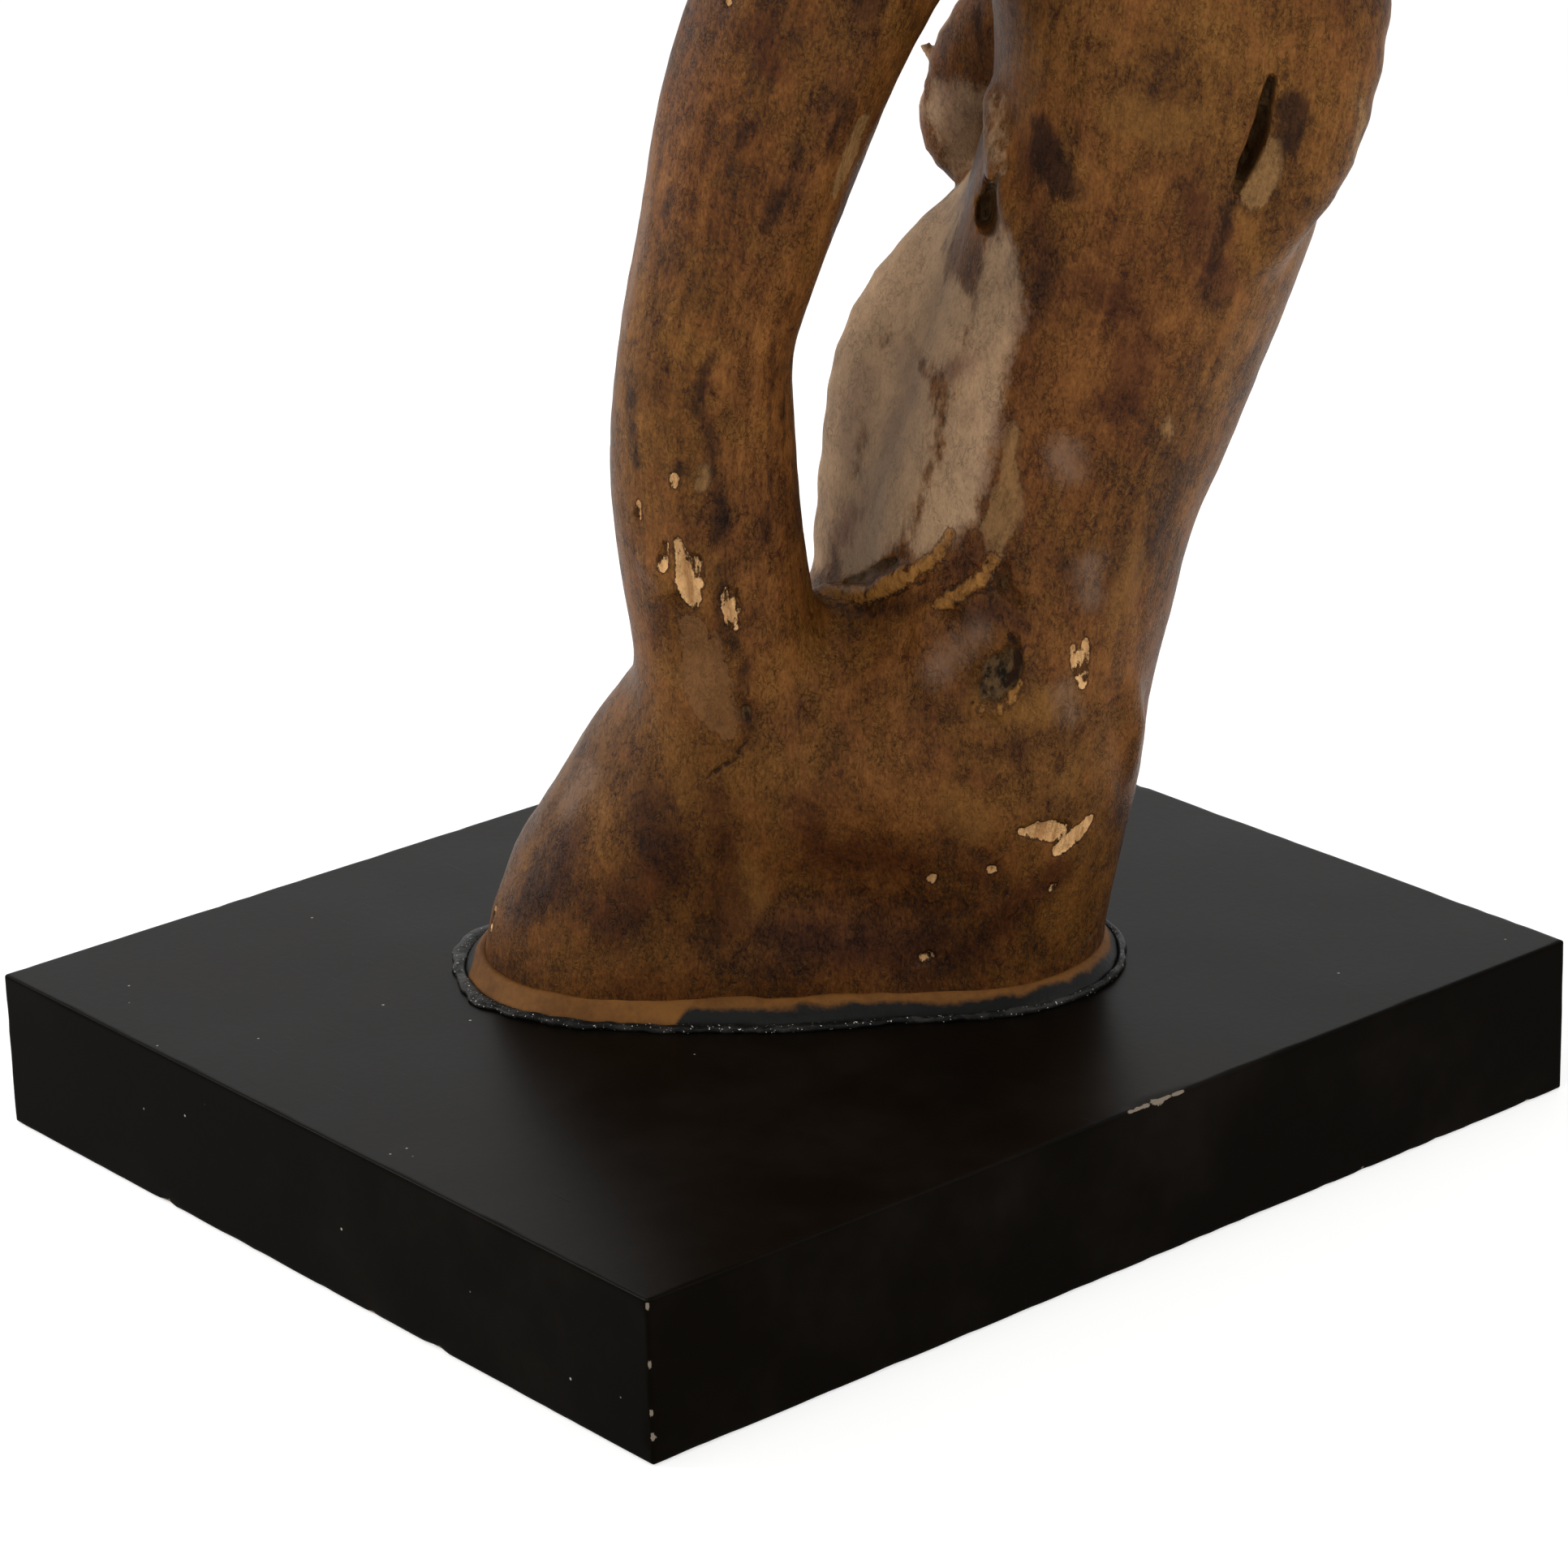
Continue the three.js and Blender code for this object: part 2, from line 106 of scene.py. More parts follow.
LIMBS = [FRONT_STEM, BROAD_STEM, BLADE, FOOT, CROTCH, BROKEN_ROOT, CREST_LOCK]
FRONT_NUMBER, BROAD_NUMBER, BLADE_NUMBER, CREST_NUMBER = 0, 1, 2, 6

POLL = (42.0, 1368.0)  # top of the head, y and z
FACE_TILT = math.radians(52)  # of the face line below the horizontal

# The head along its face line: distance from the poll, middle of the depth out of the face, half-thickness,
# half-depth.
HEAD = [
    (0, -40, 72, 84), (60, -52, 78, 110), (120, -64, 80, 130), (190, -66, 74, 136), (260, -62, 60, 119),
    (340, -54, 50, 95), (420, -48, 46, 77), (490, -44, 48, 68), (545, -47, 52, 63), (582, -52, 42, 50),
]
# Bosses on both sides of the head: across, along the face, out of the face; half-sizes; blend.
BOSSES = [
    ((60, 158, 22), (26, 60, 26), 26),  # brow over the eye
    ((64, 172, -8), (24, 24, 20), 8),  # eyeball
    ((38, 270, -30), (26, 115, 15), 26),  # ridge of the cheekbone
    ((42, 180, -116), (46, 100, 86), 16),  # cheek
    ((38, 552, -26), (20, 34, 26), 12),  # nostril
    ((0, 545, -110), (36, 46, 26), 18),  # chin
]
EAR = (14, [(36, 38, 1392, 26, 32), (52, 28, 1448, 27, 36), (60, 14, 1498, 18, 24), (58, 2, 1538, 6, 8)])
FORELOCK = (8, [(0, -30, 46, 20, 20), (9, 40, 62, 20, 16), (-7, 100, 66, 17, 13), (7, 158, 66, 6, 6)])
HEAD_BLEND = 40

# Locks of the mane on the neck's sides.
LOCKS_PER_SIDE = 5
LOCK_TOP = 1345
LOCK_SPACING = 100
LOCK_FALL = 205
LOCK_ROOT_INSET, LOCK_TIP_INSET = 8, 104  # depth in from the crest
LOCK_THICKNESS = [(0, 8), (0.25, 25), (0.55, 23), (0.82, 14), (1, 6)]  # way along the lock, half-thickness
LOCK_BLEND = 7
NECK_DEPTH = 115  # half the neck's depth
# Neck under the mane: height, depth of the crest, half-thickness.
CREST = np.array([
    (1350, 92, 64), (1230, 180, 74), (1120, 248, 82), (1010, 304, 90), (900, 340, 95), (800, 358, 100),
    (680, 358, 100),
])

SPINE_STEPS = 3
SPINE_BLEND = 6
FAR = 42.0  # a form further than this from a block of points has no say in it
STROKE_FAR = 20.0  # the same for a stroke
BLOCK = 30.0  # side of the blocks in which points are measured together


def soft_min(a, b, width):
    """Smaller of two distances, with a soft join of the given width."""
    overlap = np.maximum(width - np.abs(a - b), 0) / width
    return np.minimum(a, b) - overlap * overlap * width / 4


def soft_max(a, b, width):
    return -soft_min(-a, -b, width)


def catmull_rom(stations, steps):
    """The stations, with steps - 1 more between each pair."""
    s = np.array(stations, float)
    s = np.vstack([2 * s[0] - s[1], s, 2 * s[-1] - s[-2]])
    rows = []
    for a, b, c, d in zip(s, s[1:], s[2:], s[3:]):
        for t in np.arange(steps) / steps:
            cubic = 3 * b - a - 3 * c + d
            square = 2 * a - 5 * b + 4 * c - d
            rows.append(0.5 * (2 * b + (c - a) * t + square * t**2 + cubic * t**3))
    rows.append(s[-2])
    return np.array(rows)


def ellipsoid_distance(across, deep, along, half_across, half_deep, half_along):
    reach = np.sqrt((across / half_across) ** 2 + (deep / half_deep) ** 2 + (along / half_along) ** 2)
    slope = np.sqrt(
        (across / half_across**2) ** 2 + (deep / half_deep**2) ** 2 + (along / half_along**2) ** 2
    )
    return reach * (reach - 1) / np.maximum(slope, 1e-6)


class Limbs:
    """Elliptical sections carried along smooth spines, each cut into straight pieces."""

    def __init__(self, stations_of):
        spines = {number: catmull_rom(stations, SPINE_STEPS) for number, stations in stations_of.items()}
        self.owner = np.concatenate([np.full(len(spine) - 1, number) for number, spine in spines.items()])
        first = np.vstack([spine[:-1] for spine in spines.values()])
        last = np.vstack([spine[1:] for spine in spines.values()])
        self.start = first[:, :3]
        self.run = last[:, :3] - self.start
        self.length_squared = (self.run**2).sum(1)
        self.axis = self.run / np.sqrt(self.length_squared)[:, None]
        side = np.array([1.0, 0, 0]) - self.axis * self.axis[:, :1]
        self.across = side / np.linalg.norm(side, axis=1, keepdims=True)
        self.deep = np.cross(self.axis, self.across)
        self.half = first[:, 3:]
        self.grow = last[:, 3:] - self.half
        self.reach = np.maximum(first[:, 3:].max(1), last[:, 3:].max(1))

    def near(self, centre, radius):
        """Indices of the pieces that have a say near a block of points."""
        offset = centre - self.start
        t = np.clip((offset * self.run).sum(1) / self.length_squared, 0, 1)
        gap = np.linalg.norm(offset - self.run * t[:, None], axis=1) - self.reach - radius
        return np.flatnonzero(gap < FAR)

    def distances(self, points, centre, radius):
        """Distances of the points to each limb that is near the block, by the limb's number."""
        i = self.near(centre, radius)
        if not len(i):
            return {}
        offset = points - self.start[i, None]
        t = np.clip((offset @ self.run[i, :, None])[..., 0] / self.length_squared[i, None], 0, 1)
        offset = offset - t[..., None] * self.run[i, None]
        half_across = self.half[i, :1] + t * self.grow[i, :1]
        half_deep = self.half[i, 1:] + t * self.grow[i, 1:]
        parts = [(offset @ way[i, :, None])[..., 0] for way in (self.across, self.deep, self.axis)]
        measured = ellipsoid_distance(*parts, half_across, half_deep, np.minimum(half_across, half_deep))
        found = {}
        for number, d in zip(self.owner[i], measured):
            found[number] = soft_min(found[number], d, SPINE_BLEND) if number in found else d
        return found


def face_frame(points):
    """Points in the head's frame: across, along the face line from the poll, out of the face."""
    y, z = points[..., 1] - POLL[0], points[..., 2] - POLL[1]
    cos, sin = math.cos(FACE_TILT), math.sin(FACE_TILT)
    return np.stack([points[..., 0], -y * cos - z * sin, -y * sin + z * cos], -1)


def from_face(across, along, out, *sizes):
    """A station of the head's frame, in the carving's frame."""
    cos, sin = math.cos(FACE_TILT), math.sin(FACE_TILT)
    return (across, POLL[0] - along * cos - out * sin, POLL[1] - along * sin + out * cos, *sizes)


def mane_lock(side, top):
    stations = []
    for t, half in LOCK_THICKNESS:
        height = top - LOCK_FALL * t
        crest = np.interp(-height, -CREST[:, 0], CREST[:, 1])
        neck = np.interp(-height, -CREST[:, 0], CREST[:, 2])
        inset = LOCK_ROOT_INSET + (LOCK_TIP_INSET - LOCK_ROOT_INSET) * math.sin(t * math.pi / 2)
        spread = math.sqrt(1 - (1 - inset / NECK_DEPTH) ** 2)
        stations.append((side * neck * spread, crest - inset, height, half, half))
    return stations


# The limbs by number, in the order in which they are joined.
HEAD_NUMBER = len(LIMBS)
EAR_NUMBER, FORELOCK_NUMBER, FIRST_LOCK = HEAD_NUMBER + 1, HEAD_NUMBER + 2, HEAD_NUMBER + 3
STATIONS = {number: stations for number, (_, stations) in enumerate(LIMBS)}
STATIONS[HEAD_NUMBER] = [from_face(0, *station) for station in HEAD]
STATIONS[FORELOCK_NUMBER] = [from_face(*station) for station in FORELOCK[1]]
LOCK_TOPS = [LOCK_TOP - i * LOCK_SPACING for i in range(LOCKS_PER_SIDE)]
for _i, _top in enumerate(LOCK_TOPS):
    STATIONS[FIRST_LOCK + 2 * _i] = mane_lock(1, _top)
    STATIONS[FIRST_LOCK + 2 * _i + 1] = mane_lock(-1, _top - LOCK_SPACING / 2)
BLENDS = {number: LOCK_BLEND for number in STATIONS}
BLENDS.update({number: blend for number, (blend, _) in enumerate(LIMBS)})
BLENDS.update({HEAD_NUMBER: HEAD_BLEND, EAR_NUMBER: EAR[0], FORELOCK_NUMBER: FORELOCK[0]})
FORM = Limbs(STATIONS)
EAR_FORM = Limbs({EAR_NUMBER: EAR[1]})


def mirror(points):
    """The points, with the carving's far side folded onto its near side."""
    return np.abs(points) * (1, 0, 0) + points * (0, 1, 1)


def with_bosses(distance, points):
    local = face_frame(mirror(points))
    for at, half, blend in BOSSES:
        boss = ellipsoid_distance(*(local - at).T, *half)
        distance = soft_min(distance, boss, blend)
    return distance


def block_distance(points, centre, radius):
    """Distance of one compact block of points to the smooth form."""
    found = FORM.distances(points, centre, radius)
    if HEAD_NUMBER in found:
        found[HEAD_NUMBER] = with_bosses(found[HEAD_NUMBER], points)
    found.update(EAR_FORM.distances(mirror(points), mirror(centre), radius))
    distance = np.full(len(points), FAR)
    for number in sorted(found):
        distance = soft_min(distance, found[number], BLENDS[number])
    return distance


def in_blocks(points, measure, side=BLOCK):
    """Applies measure(points, centre, radius) to compact blocks of points."""
    cell = np.floor(points / side).astype(np.int64)
    key = (cell[:, 0] * 100003 + cell[:, 1]) * 100003 + cell[:, 2]
    order = np.argsort(key, kind="stable")
    starts = np.flatnonzero(np.r_[True, np.diff(key[order]) != 0])
    result = np.empty(len(points))
    for chosen in np.split(order, starts[1:]):
        block = points[chosen]
        centre = (block.min(0) + block.max(0)) / 2
        radius = np.linalg.norm(block.max(0) - centre)
        result[chosen] = measure(block, centre, radius)
    return result


# ---------------------------------------------------------------- hollows, rolls and marks, in millimetres

# Strokes are tapering rods laid along the wood. A station is x, y, z and radius, or only y, z and radius on
# the near side's skin, where x is found by a search.
# Hollows: times they are deeper than wide, softness of their rim, height over that skin, and the stroke.
HOLLOWS = [
    # Under the blade's root.
    (5, 3, 0, [(45, 137, 606, 1.5), (46, 134, 594, 3), (46, 131, 582, 6), (48, 130, 575, 5.5)]),
    # Under the crest lock.
    (6, 3, 0, [(96, 291, 668, 2), (95, 288, 656, 3), (95, 286, 644, 3.5), (95, 282, 630, 4.5),
               (95, 277, 618, 4.5), (94, 271, 604, 1.5)]),
    # Slit over the ledge.
    (3, 2, 0, [(12, 44, 347, 1), (27, 55, 355, 1.6), (52, 68, 370, 2.5), (60, 74, 376, 1.4)]),
    (2, 4, 0, [(137, 383, 2), (136, 370, 3.5), (144, 361, 2.5)]),  # crevice over the rotten knot
    (1, 4, 4, [(141, 336, 6), (135, 322, 11), (126, 310, 10)]),  # rotten knot
    (1, 12, 3, [(104, 346, 6), (108, 318, 8), (110, 305, 5)]),  # valley beside it
    (2, 3, 0, [(143, 333, 2), (144, 322, 2.5), (140, 311, 2)]),  # black crescent in the knot
    (1, 14, 0, [(118, -56, 352, 17), (116, -48, 330, 19)]),  # scraped flat on the slim stem
    (1, 3, 1, [(-16, 297, 2.5), (-16, 293, 2)]),  # pit
    (1, 2, 0, [(47, 188, 129, 1.5), (48, 188, 127, 1)]),  # pinholes
    (1, 2, 0, [(53, 184, 122, 1.2), (54, 184, 120, 1)]),
    (2, 6, 0, [(-96, 214, 700, 3), (-98, 206, 660, 7), (-96, 196, 630, 4)]),  # knot hole on the far side
    (2, 5, 0, [(-78, 84, 300, 4), (-80, 90, 285, 8), (-83, 92, 268, 4)]),
    (3, 3, 0, [(70, 92, 905, 2), (78, 104, 870, 5), (80, 112, 840, 2)]),  # shakes in the neck
    (3, 3, 0, [(-76, 130, 960, 1.5), (-82, 146, 915, 4), (-84, 158, 880, 2)]),
]
# Rolls: softness, height over that skin, stroke.
ROLLS = [
    (6, 0, [(6, 30, 340, 3), (19, 44, 343, 4), (42, 58, 350, 4.5), (59, 72, 365, 4.5), (70, 84, 374, 5),
            (79, 97, 385, 4.5), (82, 104, 398, 3)]),  # rolled lip of the ledge
    (5, -2.5, [(97, 353, 2.5), (106, 361, 4), (120, 373, 4), (126, 381, 3), (133, 388, 2)]),  # second lip
    (14, -4.5, [(95, 343, 6), (96, 319, 8), (99, 304, 6)]),  # satin folds beside the rotten knot
    (5, -1.5, [(116, 334, 2.5), (116, 314, 3.5), (117, 299, 2.5)]),
    (5, -1, [(118, 297, 2.5), (132, 295, 3), (145, 307, 3), (151, 323, 2)]),  # rim of the knot
    (18, 0, [(21, 136, 642, 5), (35, 137, 622, 5), (46, 138, 604, 4), (61, 146, 587, 3), (73, 152, 568, 2),
             (80, 152, 543, 1)]),  # ridge where the blade leaves the broad stem
    (14, 0, [(60, 208, 292, 5), (52, 212, 266, 7), (44, 208, 242, 5)]),  # knee at the back of the foot
    # Brow of the old knot on the slim stem.
    (12, 0, [(86, -70, 384, 3), (93, -64, 381, 4), (96, -58, 375, 3)]),
    (6, 0, [(-84, 112, 636, 3), (-90, 102, 645, 3), (-94, 96, 654, 1)]),  # splinter of the broken root
    (12, 0, [(-76, 88, 306, 7), (-80, 100, 284, 7), (-83, 96, 262, 6)]),
    (12, 0, [(-98, 224, 700, 8), (-102, 216, 660, 8), (-98, 204, 622, 6)]),
]

# The same for the face, on both sides, in full and in the head's frame: across, along the face line, out of
# the face, radius.
FACE_HOLLOWS = [
    (2, 5, [(56, 538, -18, 3), (58, 553, -25, 6), (54, 568, -36, 5)]),  # nostril
    (8, 3, [(0, 621, -66, 2), (20, 615, -69, 2), (32, 602, -73, 2), (42, 580, -75, 2.2), (43, 530, -86, 2.5),
            (36, 492, -92, 2)]),  # mouth
    # Fold over the eye.
    (1, 6, [(84, 140, -10, 3), (86, 152, 14, 3.5), (86, 184, 16, 3.5), (82, 206, -6, 3)]),
    (1, 14, [(70, 150, -40, 8), (76, 185, -42, 9), (66, 225, -36, 8)]),  # hollow under the eye
    (1, 18, [(0, 130, 62, 12), (0, 160, 60, 10)]),  # between the brows
    (1, 16, [(60, 330, -20, 9), (56, 400, -24, 10), (54, 470, -24, 8)]),  # hollow of the cheek
    (1, 10, [(76, 268, -128, 6), (86, 190, -190, 7), (82, 110, -190, 6)]),  # edge of the jaw
]
FACE_ROLLS = [
    (4, [(80, 150, -6, 3), (85, 160, 7, 4), (86, 175, 10, 4), (82, 193, 0, 3)]),  # upper lid
    (3, [(80, 150, -8, 2), (84, 162, -19, 3), (84, 178, -18, 3), (82, 193, -4, 2)]),  # lower lid
    # Rim of the nostril.
    (6, [(43, 534, -12, 3), (52, 548, -13, 3.5), (53, 563, -22, 3.5), (45, 577, -32, 3)]),
    (6, [(30, 578, -86, 3), (33, 542, -95, 4), (29, 508, -98, 3)]),  # lower lip
]
EAR_HOLLOW = (1, 6, [(46, 4, 1412, 8), (60, -6, 1450, 14), (64, -10, 1484, 10), (60, -8, 1512, 4)])

# Marks on the wood's skin, by kind.
MARKS = {
    "stain_and_shadow": [
        [(17, 612, 3), (9, 600, 6), (-1, 588, 3)], [(23, 635, 3), (21, 622, 3)],
        [(-51, 607, 3), (-55, 593, 4)],
        [(-3, 650, 4), (-9, 640, 4)], [(51, 656, 6), (44, 642, 4), (38, 625, 3)],
        [(-29, 515, 4), (-35, 501, 5), (-39, 487, 3.5), (-32, 472, 3.5), (-30, 448, 4), (-27, 418, 6),
         (-30, 406, 4.5)],
        [(5, 522, 2.5), (3, 489, 2.5), (1, 451, 2), (0, 423, 2.5), (-2, 399, 2.5)],
        [(15, 500, 3), (8, 467, 3), (7, 449, 2)],
        [(-78, 497, 3), (-78, 472, 4), (-75, 449, 4)], [(-48, 450, 3), (-51, 446, 2)],
        [(-83, 382, 1.5), (-74, 385, 2), (-65, 384, 2), (-58, 379, 2), (-54, 372, 1.5)],  # over the old knot
        [(-28, 388, 4.5), (-27, 377, 3.5), (-30, 357, 3), (-22, 342, 3.5), (-16, 325, 3), (-18, 310, 4.5),
         (-15, 294, 4.5), (-13, 275, 3)],
        [(269, 597, 3), (263, 578, 4), (256, 553, 4), (252, 540, 3)],
        [(262, 500, 3), (256, 481, 3.5), (252, 463, 3)],
        [(302, 653, 9), (304, 638, 8), (301, 628, 4)],
        [(30, 40, 336, 3), (62, 342, 3.5), (81, 352, 3.5), (95, 362, 2)],  # painted shadow under the ledge's lip
        [(162, 634, 10), (167, 619, 13), (177, 606, 9)], [(232, 368, 3)], [(218, 253, 2), (214, 244, 4)],
    ],
    "shade": [
        # Broad darker zones: painted shade under the old knot's brow (the first stroke) and along the trunk's
        # edge by the blade; darker tone of the wood elsewhere.
        [(-64, 360, 6), (-68, 349, 8), (-71, 339, 5)], [(-126, 205, 12), (-132, 178, 14), (-153, 157, 9)],
        [(-76, 231, 16), (-67, 202, 20), (-98, 164, 18)], [(-10, 153, 12), (38, 141, 14), (91, 143, 12)],
        [(20, 231, 12), (25, 203, 14), (78, 199, 10)], [(138, 270, 6), (147, 272, 6)],
        [(131, 253, 4), (112, 253, 4)], [(246, 599, 13), (256, 578, 15), (263, 542, 15)],
        [(214, 513, 16), (204, 479, 13)], [(-37, 244, 9), (-33, 205, 11), (-29, 169, 15)],
        [(106, 135, 9), (135, 160, 12), (165, 182, 13)],
        # Painted shade along the trunk's edge by the blade.
        [(153, 631, 8), (157, 602, 9), (161, 573, 10), (163, 548, 10), (153, 522, 9), (147, 496, 7)],
        [(204, 547, 12), (214, 532, 11), (191, 551, 10)], [(107, 494, 4), (116, 495, 5), (123, 503, 4)],
        [(119, 471, 4)], [(138, 473, 4), (131, 450, 4), (128, 431, 3)],
        [(54, 392, 6), (46, 377, 10), (36, 359, 8)],
        [(148, 431, 2), (148, 412, 2), (141, 392, 3), (137, 378, 4)],
        [(112, 397, 6), (121, 391, 6), (109, 380, 6), (95, 368, 4)],
        [(114, 350, 6), (132, 356, 7), (144, 350, 4)],
    ],
    "tan": [
        # Strip beside the blade.
        [(142, 465, 4), (139, 443, 5), (138, 421, 10), (133, 407, 10), (131, 391, 4)],
        [(59, 643, 5), (53, 626, 9), (45, 608, 5), (41, 599, 3)],
        [(290, 629, 5), (286, 615, 10), (282, 601, 9)],
        [(232, 468, 4), (233, 455, 3)], [(-36, 448, 4), (-37, 439, 4)], [(342, 650, 4), (340, 617, 4)],
    ],
    "amber": [
        [(-1, 27, 341, 4), (34, 341, 5), (44, 342, 6), (60, 350, 5.5), (72, 362, 6), (87, 375, 4.5),
         (99, 387, 5), (106, 400, 2.5)],
        [(96, 356, 2.5), (104, 361, 4.5), (112, 367, 4), (121, 374, 5), (130, 387, 3)],
        # The knot's rim.
        [(100, 122, 297, 2.5), (100, 131, 296, 3.5), (100, 139, 302, 3.5), (101, 145, 312, 2.5)],
    ],
    "ochre": [
        [(214, 385, 8), (212, 364, 12), (204, 345, 10)], [(102, 238, 12), (116, 224, 12)],
        [(-32, 393, 4), (-31, 382, 4)], [(120, 300, 10), (151, 296, 12), (170, 300, 9)],
        [(-20, 190, 10), (-20, 172, 12)], [(209, 651, 14), (232, 642, 12), (246, 647, 8)],
        [(180, 258, 4), (170, 244, 8), (174, 251, 5)],
    ],
    "grey": [
        [(-5, 115, 570, 10), (100, 543, 20), (85, 515, 24), (103, 513, 28)],
        [(75, 465, 34), (78, 444, 38), (68, 412, 38), (53, 375, 29)],
        [(138, 560, 15), (130, 520, 18), (122, 484, 18), (115, 447, 18), (105, 417, 18), (91, 391, 12)],
        [(141, 568, 8), (145, 538, 8), (140, 510, 6)], [(138, 641, 6), (139, 624, 6), (140, 608, 4)],
        [(-30, 108, 590, 22), (-35, 70, 530, 32), (-40, 50, 470, 36), (-40, 45, 405, 36), (-30, 40, 365, 26)],
        [(-60, 117, 615, 20), (-65, 122, 590, 12)],
    ],
    # Pale satin highlights laid on as colour: painted sheen.
    "painted_sheen": [
        [(171, 451, 10), (174, 441, 8)], [(-116, 236, 12), (-126, 220, 10)], [(170, 305, 5), (174, 289, 5)],
        [(187, 380, 8), (186, 360, 6)], [(96, 319, 8), (109, 331, 8), (120, 345, 7)],
        [(-64, 616, 6), (-70, 572, 6), (-81, 524, 6)], [(56, 465, 14), (50, 440, 12), (48, 420, 8)],
        [(80, 484, 12), (84, 471, 14), (74, 444, 14)],
    ],
    "raw": [
        # Chips on the slim stem.
        [(97, -61, 401, 1.5), (96, -63, 393, 2.5), (96, -62, 387, 2.5)],
        [(101, -53, 404, 2), (101, -51, 393, 3), (101, -49, 381, 5), (100, -46, 370, 4.5),
         (100, -45, 362, 1.5)],
        [(103, -43, 394, 2.5), (102, -43, 378, 3)],
        [(101, -25, 373, 1.5), (100, -25, 362, 2.5), (100, -23, 354, 3), (99, -22, 350, 1.5)],
        [(100, -20, 373, 1), (99, -19, 361, 1.5)], [(87, -76, 423, 1.5), (86, -77, 416, 2)],
        [(101, -54, 443, 1.5), (101, -55, 439, 1)],
        # Splinters right of the rotten knot.
        [(94, 176, 331, 1), (93, 178, 322, 2), (92, 179, 313, 0.8)],
        [(93, 180, 327, 1.5), (92, 181, 316, 2.2), (91, 182, 306, 0.8)],
        [(91, 184, 333, 1), (91, 184, 322, 1.8), (91, 184, 314, 0.8)],
        [(145, 217, 1.5), (154, 216, 5), (163, 214, 6), (170, 214, 3)],  # chips low on the broad stem
        [(167, 200, 3), (172, 204, 4.5), (180, 209, 4.5), (185, 214, 3)],
        [(14, -175, 142, 1.5), (16, -177, 136, 2), (20, -177, 132, 1)],
        [(91, 187, 2), (92, 189, 1.5)], [(127, 193, 1.5)], [(85, 135, 2.5), (89, 137, 2)], [(164, 174, 1.5)],
    ],
    "scrape": [
        [(-48, 350, 8), (-44, 337, 12), (-40, 316, 16), (-33, 295, 12), (-30, 282, 6)],
    ],
    "crack": [
        [(12, 44, 347, 1), (27, 55, 356, 1.8), (48, 66, 368, 2.2), (59, 73, 375, 1.5)],  # in the slit
        [(-16, 294, 1.5), (-14, 281, 1.5), (-24, 266, 1.5), (-40, 256, 1.5), (-48, 241, 1)],
        [(-12, 171, 1), (-13, 153, 1.5), (-15, 140, 1)], [(117, 300, 1.5), (113, 288, 1), (108, 278, 0.5)],
        [(184, 377, 0.5), (183, 357, 1), (183, 334, 0.5)],
        [(37, 340, 1), (52, 342, 1.5), (64, 349, 1.5), (77, 360, 1), (90, 369, 1.5), (93, 377, 1),
         (103, 389, 1.5), (107, 401, 1)],  # between the ledge's two lips
        [(100, 363, 1), (106, 367, 1.5), (114, 375, 1), (121, 380, 1.5), (127, 386, 1)],
        [(140, 217, 1), (146, 220, 1)],
        # Black crescent, under the skin in the rotten knot.
        [(99, 139, 341, 2), (99, 143, 333, 3), (98, 143, 324, 3.5), (98, 141, 316, 3), (99, 136, 310, 1.5)],
        [(114, 364, 1), (126, 368, 1.5), (137, 372, 1.5), (145, 364, 1.5), (148, 355, 1)],
    ],
}

SKIN_SEARCH = 170.0  # x from which the near side's skin is looked for
SKIN_SEARCH_STEPS = 40


def skin_places(strokes):
    """x of the near side's skin at the strokes' stations that have none, by y and z."""
    bare = sorted({station[:2] for stroke in strokes for station in stroke if len(station) == 3})
    points = np.column_stack([np.full(len(bare), SKIN_SEARCH), np.array(bare, float)])
    for _ in range(SKIN_SEARCH_STEPS):
        points[:, 0] -= 0.8 * np.clip(in_blocks(points, block_distance), -10, 25)
    return dict(zip(bare, points[:, 0]))


STROKES = [stroke for *_, stroke in HOLLOWS + ROLLS] + [stroke for kind in MARKS.values() for stroke in kind]
SKIN_X = skin_places(STROKES)


def in_full(stations, height=0.0):
    """The stations in full, those on the skin at the given height over it."""
    return [s if len(s) == 4 else (SKIN_X[s[:2]] + height, *s) for s in stations]

# ---------------------------------------------------------------- distance field of the whole carving


class Stroke:
    """A chain of tapering rods, deepened across the carving."""

    def __init__(self, stations, deepen=1.0):
        stations = np.array(stations, float)
        self.centre = (stations[:, :3].min(0) + stations[:, :3].max(0)) / 2
        gaps = np.linalg.norm(stations[:, :3] - self.centre, axis=1) + stations[:, 3] * deepen
        self.reach = gaps.max()
        self.squash = np.array([1 / deepen, 1, 1])
        self.places = stations[:, :3] * self.squash
        self.radii = stations[:, 3]

    def distance(self, points):
        points = points * self.squash
        best = np.linalg.norm(points - self.places[0], axis=1) - self.radii[0]
        for a, b, start, end in zip(self.places, self.places[1:], self.radii, self.radii[1:]):
            run = b - a
            t = np.clip((points - a) @ run / max(run @ run, 1e-6), 0, 1)
            gap = np.linalg.norm(points - a - t[:, None] * run, axis=1) - start - t * (end - start)
            best = np.minimum(best, gap)
        return best


class Work:
    """Rolls to add and hollows to cut, each with the softness of its join."""

    def __init__(self, rolls, hollows):
        self.steps = [(form, width, soft_min, 1) for form, width in rolls]
        self.steps += [(form, width, soft_max, -1) for form, width in hollows]
        self.centres = np.array([form.centre for form, *_ in self.steps])
        self.reaches = np.array([form.reach for form, *_ in self.steps])

    def apply(self, distance, points, centre, radius):
        gaps = np.linalg.norm(self.centres - centre, axis=1) - self.reaches - radius
        for i in np.flatnonzero(gaps < STROKE_FAR):
            form, width, blend, sign = self.steps[i]
            distance = blend(distance, sign * form.distance(points), width)
        return distance


def on_face(stations):
    return [from_face(*station) for station in stations]


